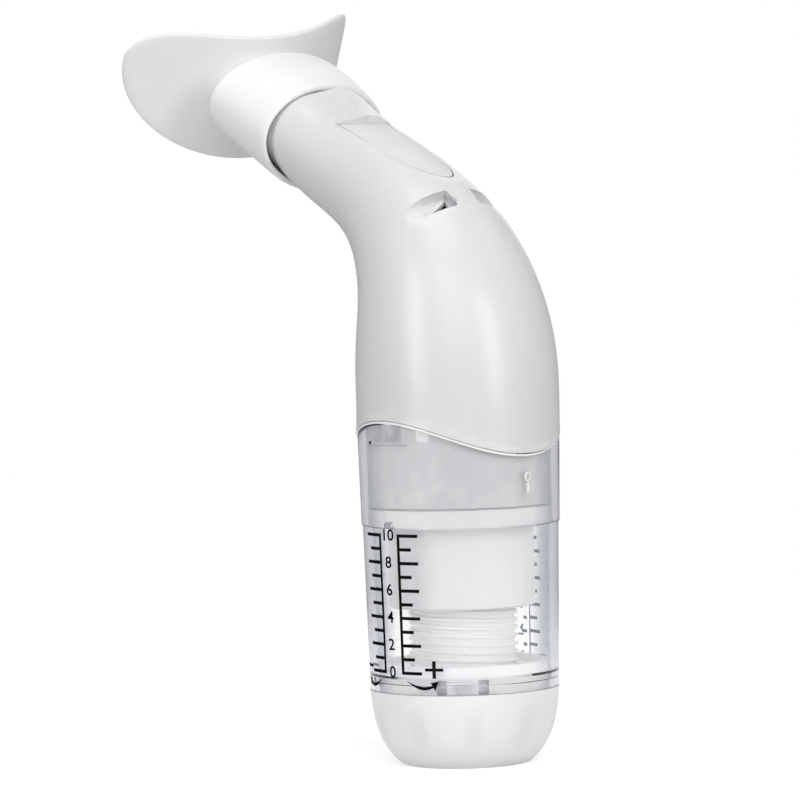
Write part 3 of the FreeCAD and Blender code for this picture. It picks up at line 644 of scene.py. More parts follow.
@dataclass
class Mouthpiece:
    """The soft collar over the neck with its thin, curved lip flange, in millimetres.

    A collar section is its middle in X and Z, its plane's lean from upright in degrees,
    its half height and its half width.
    """

    rim: tuple[float, ...] = (-50.0, 157.7, 14.0, 14.4, 20.1)
    waist: tuple[float, ...] = (-58.9, 163.2, 19.0, 14.2, 21.0)
    root: tuple[float, ...] = (-68.4, 168.6, 25.0, 12.9, 22.6)
    base: tuple[float, ...] = (-71.0, 170.0, 26.0, 10.4, 16.6)
    neck: tuple[float, ...] = (-54.5, 160.2, 30.0, 11.9, 17.2)
    lip_at: tuple[float, float] = (-72.3, 170.2)
    lip_lean: float = 27.7
    lip_radius: float = 45.9
    lip_reach: float = 41.5
    corner_drop: float = 2.0
    lip_thick: float = 1.5
    lip_rise: tuple[float, float] = (-1.6, 6.1)
    lip_half: tuple[float, float] = (17.7, 3.4)
    lip_power: float = 2.14
    lip_twist: float = 6.3
    bore: tuple[float, float] = (8.4, 14.0)
    rim_inner: tuple[float, float] = (12.3, 19.0)
    throat: tuple[float, ...] = (-62.8, 165.0, 30.0)
    axis_lean: float = 60.0
    front_shares: tuple[float, ...] = (0.08, 0.3, 0.55, 0.8, 0.94)
    edge_rings: tuple[tuple[float, float], ...] = ((0.992, 0.82), (1.0, 0.5), (0.992, 0.18))
    back_shares: tuple[float, ...] = (0.94, 0.75, 0.5, 0.28, 0.12)
    base_shares: tuple[float, ...] = (0.0, 0.45, 0.85)
    root_shares: tuple[float, ...] = (0.0, 0.15, 0.45, 0.75)
    waist_shares: tuple[float, ...] = (0.0, 0.4, 0.8, 0.93)
    rim_round: tuple[tuple[float, float], ...] = ((0.25, 0.35), (1.0, 0.62), (1.75, 0.35))
    pocket: tuple[tuple[float, ...], ...] = (
        (2.0, -1.2, 0.8, 0.9), (-0.3, 0.17, 0.7, 0.8), (-0.5, 0.3, -0.5, -0.8))
    around: int = 96

    @property
    def lip_rows(self) -> int:
        """How many rows of faces the flange takes, counted from the throat."""
        return 3 + len(self.front_shares) + len(self.edge_rings) + len(self.back_shares) + 1

    def angles(self) -> Points:
        """The angles of the points of each ring."""
        return full_turn(self.around)

    def collar_ring(self, x: float, z: float, lean: float, height: float, width: float) -> Points:
        """One oval ring of the collar."""
        up = np.array([math.sin(math.radians(lean)), 0.0, math.cos(math.radians(lean))])
        side = np.array([0.0, 1.0, 0.0])
        turn = self.angles()[:, None]
        middle = np.array([x, 0.0, z])
        return middle + up * height * np.sin(turn) + side * width * np.cos(turn)

    def lip_axes(self) -> tuple[Points, Points, Points, Points]:
        """The flange's place, outward normal, up direction and side direction."""
        angle, twist = math.radians(self.lip_lean), math.radians(self.lip_twist)
        at = np.array([self.lip_at[0], 0.0, self.lip_at[1]])
        out = np.array([math.cos(angle), 0.0, -math.sin(angle)])
        up = np.array([math.sin(angle), 0.0, math.cos(angle)])
        side = np.array([0.0, 1.0, 0.0])
        turned_up = up * math.cos(twist) - side * math.sin(twist)
        return at, out, turned_up, side * math.cos(twist) + up * math.sin(twist)

    def on_lip(self, across: Points, rise: Points, depth: float) -> Points:
        """Points on the flange's curved sheet, from distances across and up it."""
        at, out, up, side = self.lip_axes()
        radius = self.lip_radius - depth
        turn = across / self.lip_radius
        place = at - out * self.lip_radius
        spoke = np.outer(np.cos(turn), out) + np.outer(np.sin(turn), side)
        return place + radius * spoke + np.outer(rise, up)

    def lip_plane(self, ring: Points) -> tuple[Points, Points]:
        """How far across and up the flange's sheet the points of a ring lie."""
        at, _, up, side = self.lip_axes()
        flat = ring - at
        share = np.clip(flat @ side / self.lip_radius, -1, 1)
        return self.lip_radius * np.arcsin(share), flat @ up

    def outline(self) -> tuple[Points, Points]:
        """The flange's edge, as distances across and up its sheet."""
        turn = self.angles()
        share = np.sign(np.cos(turn)) * np.abs(np.cos(turn)) ** (2 / self.lip_power)
        lift = np.sign(np.sin(turn)) * np.abs(np.sin(turn)) ** (2 / self.lip_power)
        rise = self.lip_rise[0] + self.lip_rise[1] * share**2
        rise = rise + (self.lip_half[0] + self.lip_half[1] * share**2) * lift
        corner = np.clip((np.abs(share) - 0.5) / 0.5, 0, 1) ** 2 * np.clip(lift * 3, 0, 1)
        rise = rise - self.corner_drop * corner
        return self.lip_reach * share, rise

    def lip_ring(self, share: float, depth: float, inner: tuple[Points, Points]) -> Points:
        """A ring on the flange, a share of the way from an inner ring to the edge."""
        edge_across, edge_rise = self.outline()
        across = inner[0] + (edge_across - inner[0]) * share
        rise = inner[1] + (edge_rise - inner[1]) * share
        return self.on_lip(across, rise, depth)

    def rings(self) -> list[Points]:
        """The whole closed skin: bore, flange front, edge, flange back, collar, rim, pocket."""
        lean = math.radians(self.axis_lean)
        along = np.array([-math.sin(lean), 0.0, math.cos(lean)])
        bore_flat = self.lip_plane(self.collar_ring(*self.lip_at, self.throat[2], *self.bore))
        base_flat = self.lip_plane(self.collar_ring(*self.base))
        thick = self.lip_thick
        rings = [self.collar_ring(*self.throat, *self.bore)]
        rings.append(self.lip_ring(0.0, thick + 0.4, bore_flat) - along * 1.6)
        rings.append(self.lip_ring(0.02, thick + 0.05, bore_flat))
        rings += [self.lip_ring(share, thick, bore_flat) for share in self.front_shares]
        rings += [self.lip_ring(share, thick * deep, bore_flat) for share, deep in self.edge_rings]
        rings += [self.lip_ring(share, 0.0, base_flat) for share in self.back_shares]
        rings.append(self.lip_ring(0.03, -0.15, base_flat))
        for first, second, shares in (
            (self.base, self.root, self.base_shares),
            (self.root, self.waist, self.root_shares),
            (self.waist, self.rim, self.waist_shares),
        ):
            rings += [self.blended_ring(first, second, share) for share in shares]
        x, z, lean, height, width = self.rim
        forth = np.array([math.cos(math.radians(lean)), 0.0, -math.sin(math.radians(lean))])
        for inset, past in self.rim_round:
            ring = self.collar_ring(x, z, lean, height - inset, width - inset * 0.6)
            rings.append(ring + forth * past)
        rings.append(self.collar_ring(x, z, lean, *self.rim_inner) - forth * 0.5)
        x, z, lean, height, width = self.neck
        for along_x, along_z, taller, wider in self.pocket:
            section = (x + along_x, z + along_z, lean, height + taller, width + wider)
            rings.append(self.collar_ring(*section))
        step_x, step_z = self.pocket[-1][:2]
        height, width = self.bore
        rings.append(self.collar_ring(x + step_x, z + step_z, lean, height + 1.0, width + 0.4))
        return rings

    def blended_ring(self, first: tuple[float, ...], second: tuple[float, ...],
                     share: float) -> Points:
        """A ring part of the way between two sections."""
        return self.collar_ring(*(a + (b - a) * share for a, b in zip(first, second)))

    def build(self) -> bpy.types.Object:
        """Builds the mouthpiece as one closed skin."""
        rings = self.rings()
        faces = ring_faces(len(rings), self.around, closed=True)
        piece = mesh_object("soft_mouthpiece", np.vstack(rings) * MM, faces)
        subdivided(piece, 1)
        Piece(Bodies.MOUTH, Slots.SILICONE, COLLAR_SILICONE).dress(piece, "mouthpiece")
        finish_faces(piece, LIP_SILICONE, lambda face: face.index // self.around < self.lip_rows)
        return piece


# The printed scales


@dataclass
class SleeveWall:
    """The outer face of the clear sleeve below its ledge, in millimetres."""

    foot: tuple[float, float] = (23.65, 19.1)
    ledge: tuple[float, float] = (24.5, 59.8)

    def radius(self, z: Points) -> Points:
        """The wall's radius at a level."""
        share = (z - self.foot[1]) / (self.ledge[1] - self.foot[1])
        return self.foot[0] + (self.ledge[0] - self.foot[0]) * share

    def wrapped(self, degrees: Points, z: Points, proud: float) -> Points:
        """Points on the wall, from their bearing and level."""
        return polar(self.radius(z) + proud, np.radians(degrees), z)


@dataclass
class PrintedScale:
    """One printed scale: two ladders, the numbers between them, and the turning signs."""

    side: Side
    wall: SleeveWall = field(default_factory=SleeveWall)
    zero_z: float = 24.2
    step_z: float = 3.397
    steps: int = 10
    number_at: float = -89.0
    number_size: float = 4.002
    number_width: float = 1.16
    number_weight: float = 0.06
    ink: float = 0.05
    root: float = -0.03
    line: float = 0.8
    right_line: float = -80.4
    right_long: float = -67.0
    right_short: float = -71.6
    left_line: float = -95.9
    left_long: float = -112.0
    left_short: float = -107.5
    plus_at: tuple[float, float] = (-59.2, 25.2)
    sign_size: float = 4.3
    sign_half_line: float = 0.37
    arrows: tuple[tuple[float, float], ...] = ((-77.4, -56.7), (-100.4, -121.3))
    arrow_z: float = 22.2
    arrow_droop: float = 1.65
    arrow_line: tuple[float, float] = (0.12, 0.72)
    arrow_tip: tuple[tuple[float, ...], ...] = ((0.76, 1.0, 0.9), (21.95, 22.35, 20.05))

    def patch(self, low: tuple[float, float], high: tuple[float, float], columns: int) -> Skin:
        """A thin printed bar between two bearings and two levels.

        Args:
            low: its lowest bearing in degrees and level.
            high: its highest bearing and level.
            columns: how many steps it takes round the wall.

        Returns:
            Its points and faces.
        """
        bearings = np.linspace(low[0], high[0], columns + 1) + self.side.value
        rows = []
        corners = ((low[1], self.root), (low[1], self.ink), (high[1], self.ink), (high[1], self.root))
        for level, proud in corners:
            rows.append(self.wall.wrapped(bearings, np.full(columns + 1, level), proud))
        width = columns + 1
        faces = []
        for row in range(4):
            here, after = row * width, (row + 1) % 4 * width
            for step in range(columns):
                faces.append((here + step, here + step + 1, after + step + 1, after + step))
        faces.append(tuple(row * width for row in range(4)))
        faces.append(tuple(row * width + columns for row in reversed(range(4))))
        return np.vstack(rows), faces

    def degrees_for(self, length: float, z: float) -> float:
        """The turn that a length makes round the wall at a level."""
        return math.degrees(length / float(self.wall.radius(np.array(z))))

    def ladder(self, line_at: float, long_at: float, short_at: float) -> list[Skin]:
        """One upright line with its long and short ticks."""
        half = self.line / 2
        turn = self.degrees_for(half, 40.0)
        top = self.zero_z + self.steps * self.step_z
        parts = [self.patch((line_at - turn, self.zero_z - half), (line_at + turn, top + half), 2)]
        for tick in range(self.steps + 1):
            z = self.zero_z + tick * self.step_z
            end = long_at if tick % 2 == 0 else short_at
            near, far = sorted((line_at, end))
            parts.append(self.patch((near, z - half), (far, z + half), 6))
        return parts

    def sign(self, at: tuple[float, float], upright: bool) -> list[Skin]:
        """A plus or minus sign."""
        bearing, z = at
        half, thick = self.sign_size / 2, self.sign_half_line
        wide = self.degrees_for(half * 1.1, z)
        thin = self.degrees_for(thick * 1.2, z)
        parts = [self.patch((bearing - wide, z - thick), (bearing + wide, z + thick), 6)]
        if upright:
            parts.append(self.patch((bearing - thin, z - half), (bearing + thin, z + half), 2))
        return parts

    def arrow(self, tail: float, head: float) -> list[Skin]:
        """A drooping arrow that runs round the wall from its tail to its head."""
        count = 14
        shares = np.linspace(0.0, 0.84, count)
        bearings = tail + (head - tail) * shares + self.side.value
        droop = self.arrow_droop * np.sin(math.pi * np.clip(shares / 1.12, 0, 1))
        middle = self.arrow_z - droop
        thin, swell = self.arrow_line
        width = thin + swell * np.sin(math.pi * np.clip(shares / 1.1, 0, 1))
        faces = [(s, s + 1, count + s + 1, count + s) for s in range(count - 1)]
        tip_shares, tip_levels = np.array(self.arrow_tip)
        tip_bearings = tail + (head - tail) * tip_shares + self.side.value
        parts = []
        for proud in (self.ink, self.root):
            upper = self.wall.wrapped(bearings, middle + width / 2, proud)
            lower = self.wall.wrapped(bearings, middle - width / 2, proud)
            parts.append((np.vstack([upper, lower]), faces))
            parts.append((self.wall.wrapped(tip_bearings, tip_levels, proud), [(0, 1, 2)]))
        return parts

    def numbers(self) -> list[Skin]:
        """The even numbers from 0 to 10."""
        parts = []
        for value in range(0, self.steps + 1, 2):
            curve = bpy.data.curves.new("digit", "FONT")
            curve.body = str(value)
            curve.align_x = "CENTER"
            curve.align_y = "CENTER"
            curve.size = self.number_size
            curve.offset = self.number_weight
            curve.resolution_u = 4
            letter = linked("digit", curve)
            settled = letter.evaluated_get(bpy.context.evaluated_depsgraph_get())
            mesh = bpy.data.meshes.new_from_object(settled)
            flat = np.array([v.co for v in mesh.vertices], float)
            z = self.zero_z + value * self.step_z + flat[:, 1]
            turn = np.degrees(self.number_width * flat[:, 0] / self.wall.radius(z))
            faces = [tuple(p.vertices) for p in mesh.polygons]
            bearings = self.number_at + turn + self.side.value
            for proud in (self.ink, self.root):
                parts.append((self.wall.wrapped(bearings, z, proud), faces))
            bpy.data.objects.remove(letter)
            bpy.data.curves.remove(curve)
            bpy.data.meshes.remove(mesh)
        return parts

    def build(self) -> bpy.types.Object:
        """Builds the whole print of one side as one piece."""
        parts = self.ladder(self.right_line, self.right_long, self.right_short)
        parts += self.ladder(self.left_line, self.left_long, self.left_short)
        parts += self.sign(self.plus_at, True)
        parts += self.sign((2 * self.number_at - self.plus_at[0], self.plus_at[1]), False)
        for tail, head in self.arrows:
            parts += self.arrow(tail, head)
        parts += self.numbers()
        points, faces = merged(parts)
        name = f"printed_scale_{self.side.name.lower()}"
        piece = mesh_object(name, points * MM, faces, smooth=False)
        Piece(Bodies.SLEEVE, Slots.CLEAR, PRINT_INK).dress(piece)
        proud = np.hypot(points[:, 0], points[:, 1]) - self.wall.radius(points[:, 2])
        finish_faces(piece, PRINT_BACK, lambda face: max(proud[v] for v in face.vertices) < 0.0)
        return piece


# The lead screw


@dataclass
class ThreadedScrew:
    """The hollow lead screw with its coarse left-hand thread of two starts, in millimetres."""

    crest: float = 13.6
    root: float = 12.75
    foot_z: float = 24.0
    top_z: float = 62.4
    pitch: float = 2.0
    starts: int = 2
    around: int = 120
    rows_per_pitch: int = 10
    runout: float = 0.8
    band_from: float = 13.2

    def height(self, share: Points) -> Points:
        """How far out the thread stands at a share of its pitch, from 0 to 1."""
        ridge = np.clip(1.9 * (0.5 + 0.5 * np.cos(2 * math.pi * share)) - 0.45, 0.0, 1.0)
        return ridge * ridge * (3 - 2 * ridge)

    def thread(self) -> Skin:
        """The threaded band, closed at its ends against the tube."""
        rows = int(round((self.top_z - self.foot_z) / self.pitch * self.rows_per_pitch)) + 1
        levels = np.linspace(self.foot_z, self.top_z, rows)
        turn = full_turn(self.around)
        lead = self.pitch * self.starts
        share = (levels[:, None] + lead * turn[None, :] / (2 * math.pi)) / self.pitch % 1.0
        to_end = np.minimum(levels - self.foot_z, self.top_z - levels)
        runout = np.clip(to_end / self.runout, 0.0, 1.0)[:, None]
        radius = self.root + (self.crest - self.root) * self.height(share) * runout
        return polar(radius, turn, levels[:, None]), ring_faces(rows, self.around)

    def build(self) -> bpy.types.Object:
        """Builds the screw from its CAD body, with the plain band cut back to the thread's root."""
        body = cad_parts["lead_screw"].data
        core = node_points("lead_screw")
        reach = np.hypot(core[:, 0], core[:, 1])
        band = reach > self.band_from
        core[band, :2] *= ((self.root - 0.02) / reach[band])[:, None]
        tube = (core, [tuple(p.vertices) for p in body.polygons])
        points, faces = merged([tube, self.thread()])
        piece = mesh_object("threaded_screw", points * MM, faces)
        piece.data.shade_smooth()
        edges = piece.modifiers.new("keep_edges", "EDGE_SPLIT")
        edges.split_angle = math.radians(40)
        return Piece(Bodies.SCREW, Slots.WHITE, WHITE_PLASTIC).dress(piece, "lead_screw")


# The thumb pad


@dataclass
class ThumbPad:
    """The soft inlay in the back of the neck, with a rounded edge and a full crown; its edge is
    painted dark, a painted shade of the recess round it.
    """

    tip: tuple[float, float] = (0.0, 145.0)
    end: tuple[float, float] = (-34.6, 160.5)
    thick: float = 1.45
    crown: float = 1.7
    edge_rows: int = 4
    edge_rings: tuple[tuple[float, float], ...] = (
        (0.1, 1.45), (0.0, 1.35), (-0.45, 0.5), (-0.5, 0.2), (-0.3, 0.03), (0.3, -0.04))
    crown_shares: tuple[float, ...] = (0.06, 0.14, 0.26, 0.42, 0.6, 0.8)

    def outline(self) -> tuple[Points, Points, Points]:
        """The pad's top outline in order, its middle and the outward normal."""
        slope = np.array([self.tip[0] - self.end[0], 0.0, self.tip[1] - self.end[1]])
        slope /= np.linalg.norm(slope)
        out = np.array([-slope[2], 0.0, slope[0]])
        points = node_points("thumb_pad")
        depth = (points - np.array([self.end[0], 0.0, self.end[1]])) @ out
        top = points[depth > depth.max() - 0.02]
        low, high = top.min(axis=0), top.max(axis=0)
        middle = (low + high) / 2
        flat = top - middle
        bearing = np.arctan2(flat[:, 1], flat @ slope)
        ordered = top[np.argsort(bearing)]
        keep = [0]
        for index in range(1, len(ordered)):
            if np.linalg.norm(ordered[index] - ordered[keep[-1]]) > 0.05:
                keep.append(index)
        return ordered[keep], middle, out

    def build(self) -> bpy.types.Object:
        """Builds the pad from rings that follow its outline."""
        ring, middle, out = self.outline()
        inward = middle - ring
        reach = np.linalg.norm(inward, axis=1, keepdims=True)
        rings = []
        for inset, depth in self.edge_rings:
            rings.append(ring + inward / reach * inset - out * depth)
        for share in self.crown_shares:
            lift = self.crown * (1 - (1 - share) ** 2)
            rings.append(ring + inward * (share + 0.3 / reach * (1 - share)) + out * lift)
        count = len(ring)
        peak_and_base = [middle[None, :] + out * self.crown, middle[None, :] - out * self.thick]
        points = np.vstack([*rings, *peak_and_base])
        faces = ring_faces(len(rings), count)
        last = (len(rings) - 1) * count
        peak, base = last + count, last + count + 1
        faces += [(last + s, last + (s + 1) % count, peak) for s in range(count)]
        faces += [((s + 1) % count, s, base) for s in range(count)]
        piece = mesh_object("soft_thumb_pad", points * MM, faces)
        Piece(Bodies.HANDLE, Slots.PAD, PAD_RUBBER).dress(piece, "thumb_pad")
        # The edge rows take the painted shade of the recess.
        finish_faces(piece, PAD_EDGE_SHADE, lambda face: face.index < self.edge_rows * count)
        return piece


# The soft seals and flaps


@dataclass
class SoftRing:
    """A soft ring with rounded edges, turned to the size of the CAD node that it replaces."""

    node: str
    body: Bodies
    around: int = 120
    section: int = 14

    def build(self) -> bpy.types.Object:
        """Builds the ring as a lathe of a rounded section."""
        inner, outer, foot, top = node_room(self.node)
        turn = full_turn(self.section)
        across = np.sign(np.cos(turn)) * np.abs(np.cos(turn)) ** 0.5
        along = np.sign(np.sin(turn)) * np.abs(np.sin(turn)) ** 0.5
        radii = (inner + outer) / 2 + (outer - inner) / 2 * across
        levels = (foot + top) / 2 + (top - foot) / 2 * along
        points = polar(radii, full_turn(self.around)[:, None], levels)
        faces = ring_faces(self.around, self.section, closed=True)
        piece = mesh_object(f"soft_{self.node}", points * MM, faces)
        return Piece(self.body, Slots.SEAL, SEAL_RUBBER).dress(piece, self.node)


@dataclass
class CoilSpring:
    """The load spring in round wire."""

    turns: int = 9
    wire: float = 0.65
    steps: int = 40
    around: int = 10

    def build(self) -> bpy.types.Object:
        """Builds the coil in the room of its CAD node, between the washer and the cup's floor."""
        inner, outer, foot, top = node_room("load_spring")
        foot, top = foot + self.wire, top - self.wire
        rows = self.turns * self.steps + 1
        bearing = np.linspace(0.0, 2 * math.pi * self.turns, rows)[:, None]
        level = np.linspace(foot, top, rows)[:, None]
        turn = full_turn(self.around)
        out = (inner + outer) / 2 + self.wire * np.cos(turn)
        coil = polar(out, bearing, level + self.wire * np.sin(turn))
        ends = [range(self.around), range((rows - 1) * self.around, rows * self.around)]
        faces = ring_faces(rows, self.around) + [tuple(end) for end in ends]
        piece = mesh_object("coil_load_spring", coil * MM, faces)
        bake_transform(piece)
        return Piece(None, Slots.SPRING, SPRING_STEEL).dress(piece, "load_spring")


@dataclass
class SoftFlap:
    """A thin soft flap with rounded edges, grown from its CAD node's own outline."""

    node: str
    body: Bodies
    round_off: float = 0.35

    def build(self) -> bpy.types.Object:
        """Builds the flap as a copy with rounded edges."""
        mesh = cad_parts[self.node].data.copy()
        mesh.name = f"soft_{self.node}"
        piece = linked(mesh.name, mesh)
        tidy = bmesh.new()
        tidy.from_mesh(mesh)
        bmesh.ops.remove_doubles(tidy, verts=tidy.verts, dist=1e-6)
        flat = math.radians(2)
        bmesh.ops.dissolve_limit(tidy, angle_limit=flat, verts=tidy.verts, edges=tidy.edges)
        tidy.to_mesh(mesh)
        tidy.free()
        rounded = piece.modifiers.new("rounded_edges", "BEVEL")
        rounded.width = self.round_off * MM
        rounded.segments = 3
        rounded.limit_method = "ANGLE"
        mesh.shade_smooth()
        return Piece(self.body, Slots.SEAL, SEAL_RUBBER).dress(piece, self.node)


# The sleeve's small features


@dataclass
class SleeveTrim:
    """The bright bead along the sleeve's wavy rim, a painted highlight; the thin lines of painted
    shade at its snaps; and its small moulded marks, pale as a painted highlight.
    """

    seam_z: float = 82.05
    wave: float = 4.4
    top_radius: float = 25.45
    ledge: tuple[float, float] = (24.8, 60.05)
    rim_z: float = 90.45
    bead: float = 0.3
    drop: float = 0.36
    mark_turn: float = 1.3
    mark_z: float = 72.0
    mark_half: tuple[float, float] = (0.85, 1.0)
    mark_bar: tuple[float, float] = (-3.9, -1.5)
    slot_turns: tuple[float, float] = (-103.0, -71.0)
    slot_z: float = 80.5
    slot_bead: float = 0.14
    rim_steps: int = 240
    bead_sides: int = 10

    def radius(self, z: Points) -> Points:
        """The upper wall's outer radius at a level."""
        share = (z - self.ledge[1]) / (self.rim_z - self.ledge[1])
        return self.ledge[0] + (self.top_radius - self.ledge[0]) * share

    def tube(self, path: Points, thick: float, closed: bool) -> Skin:
        """A round bead along a path.

        Args:
            path: the path's points in millimetres.
            thick: the bead's radius.
            closed: whether the path joins up.

        Returns:
            The bead's points and faces.
        """
        sides = self.bead_sides
        turn = full_turn(sides)[:, None]
        along = np.gradient(path, axis=0)
        if closed:
            along = np.roll(path, -1, axis=0) - np.roll(path, 1, axis=0)
        along /= np.linalg.norm(along, axis=1, keepdims=True)
        out = path * np.array([1.0, 1.0, 0.0])
        out /= np.linalg.norm(out, axis=1, keepdims=True)
        side = np.cross(along, out)
        spokes = [np.cos(turn) * o + np.sin(turn) * u for o, u in zip(out, side)]
        rings = [middle + thick * spoke for middle, spoke in zip(path, spokes)]
        faces = ring_faces(len(rings), sides, closed=closed)
        if not closed:
            last = (len(rings) - 1) * sides
            faces += [tuple(range(sides)), tuple(last + s for s in reversed(range(sides)))]
        return np.vstack(rings), faces

    def rim(self) -> bpy.types.Object:
        """The bead along the rim, in pale opaque plastic: a painted highlight of the clear rim."""
        bearings = full_turn(self.rim_steps)
        z = self.seam_z - self.wave * np.cos(2 * bearings) - self.drop
        path = polar(self.radius(z) - 0.12, bearings, z)
        points, faces = self.tube(path, self.bead, True)
        # The pale bead paints the rim's highlight.
        piece = mesh_object("sleeve_rim_highlight_bead", points * MM, faces)
        return Piece(Bodies.SLEEVE, Slots.CLEAR, RIM_HIGHLIGHT_PLASTIC).dress(piece)

    def arc(self, low: float, high: float, z: float) -> Points:
        """Points on the wall between two bearings."""
        bearings = np.radians(np.linspace(low, high, 24))
        return polar(self.radius(np.array(z)) - 0.02, bearings, z)

    def slot(self, side: float) -> bpy.types.Object:
        """A thin grey line at a snap: painted shade."""
        low, high = (turn + side for turn in self.slot_turns)
        points, faces = self.tube(self.arc(low, high, self.slot_z), self.slot_bead, False)
        piece = mesh_object(f"snap_shade_line_{'near' if side == 0.0 else 'far'}", points * MM, faces)
        return Piece(Bodies.SLEEVE, Slots.CLEAR, SLOT_SHADE).dress(piece)

    def mark(self) -> bpy.types.Object:
        """The small moulded ring and bar on the wall, raised, in pale opaque plastic that paints
        their highlight.
        """
        turn = full_turn(28)
        bearing = math.radians(self.mark_turn)
        z = self.mark_z + self.mark_half[1] * np.sin(turn)
        reach = self.radius(z)
        ring = polar(reach, bearing + self.mark_half[0] * np.cos(turn) / reach, z)
        low, high = self.mark_bar
        levels = np.linspace(self.mark_z + low, self.mark_z + high, 10)
        bar = polar(self.radius(levels), bearing, levels)
        points, faces = merged([self.tube(ring, 0.26, True), self.tube(bar, 0.38, False)])
        piece = mesh_object("sleeve_moulded_mark", points * MM, faces)
        # Pale plastic: a painted highlight on the raised mark.
        return Piece(Bodies.SLEEVE, Slots.CLEAR, RIM_HIGHLIGHT_PLASTIC).dress(piece)

    def build(self) -> None:
        """Builds every small feature."""
        self.rim()
        self.mark()
        for side in (0.0, 180.0):
            self.slot(side)


BACKING_OUTLINE = (
    (19.35, 18.75), (19.55, 18.85), (19.55, 22.4), (19.35, 22.5),
    (18.95, 22.5), (18.75, 22.4), (18.75, 18.85), (18.95, 18.75),
)


def collar_backing() -> bpy.types.Object:
    """The ring behind the windows of the knob's collar; its purple grey is painted shade, seen
    through the windows.
    """
    reach, levels = np.array(BACKING_OUTLINE).T
    bearings = full_turn(120)
    points = polar(reach, bearings[:, None], levels)
    faces = ring_faces(len(bearings), len(BACKING_OUTLINE), closed=True)
    piece = mesh_object("collar_backing", points * MM, faces)
    return Piece(Bodies.KNOB, Slots.WHITE, COLLAR_BACK_SHADE).dress(piece)


# The CAD nodes


CAD_FINISHES: dict[str, Finish | ClearFinish] = {
    "handle_shell": SHELL_PLASTIC,
    "scale_sleeve": CLEAR_PLASTIC,
    "valve_housing": WHITE_PLASTIC,
    "spring_cup": WHITE_PLASTIC,
    "tension_knob": KNOB_PLASTIC,
    "airway_duct": WHITE_PLASTIC,
    "flap_clip_left": WHITE_PLASTIC,
    "flap_clip_right": WHITE_PLASTIC,
    "poppet_disc": WHITE_PLASTIC,
    "stem_screw": SPRING_STEEL,
    "spring_washer": SPRING_STEEL,
}


def dress_cad_nodes() -> None:
    """Gives every CAD node that still shows its finish."""
    for name, finish in CAD_FINISHES.items():
        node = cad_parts[name]
        node.data.materials.clear()
        node.data.materials.append(finish.made())
        LOG.info("%s is finished as %s", name, finish.name)


# The studio


@dataclass(frozen=True)
class Lamp:
    """One soft lamp, aimed at the middle of the object.

    The bearing is in degrees round from the camera, to its right. The size is the lamp's
    width and height.
    """

    name: str
    bearing: float
    height: float
    distance: float
    size: tuple[float, float]
    power: float

    def build(self, camera_turn: float) -> bpy.types.Object:
        """Builds the lamp.

        Args:
            camera_turn: the camera's own bearing in degrees.

        Returns:
            The lamp.
        """
        light = bpy.data.lights.new(self.name, "AREA")
        light.shape = "RECTANGLE"
        light.size, light.size_y = self.size
        light.energy = self.power
        turn = math.radians(camera_turn + self.bearing)
        at = Vector((math.sin(turn) * self.distance, -math.cos(turn) * self.distance, self.height))
        lamp = linked(self.name, light)
        lamp.location = at
        lamp.rotation_mode = "QUATERNION"
        lamp.rotation_quaternion = (LAMP_AIM - at).to_track_quat("-Z", "Y")
        return lamp


LAMP_AIM = Vector((-0.01, 0.0, 0.1))
LAMPS = (
    Lamp("soft_front", 6.0, 0.95, 1.2, (0.9, 0.9), 4.2),
    Lamp("strip_left", -45.0, 0.52, 1.3, (0.38, 1.0), 6.6),
    Lamp("strip_right", 47.0, 0.52, 1.3, (0.38, 1.0), 6.8),
    Lamp("soft_top", 15.0, 1.6, 0.3, (0.9, 0.9), 6.4),
    Lamp("soft_back", 176.0, 0.7, 1.3, (0.9, 0.9), 2.4),
)


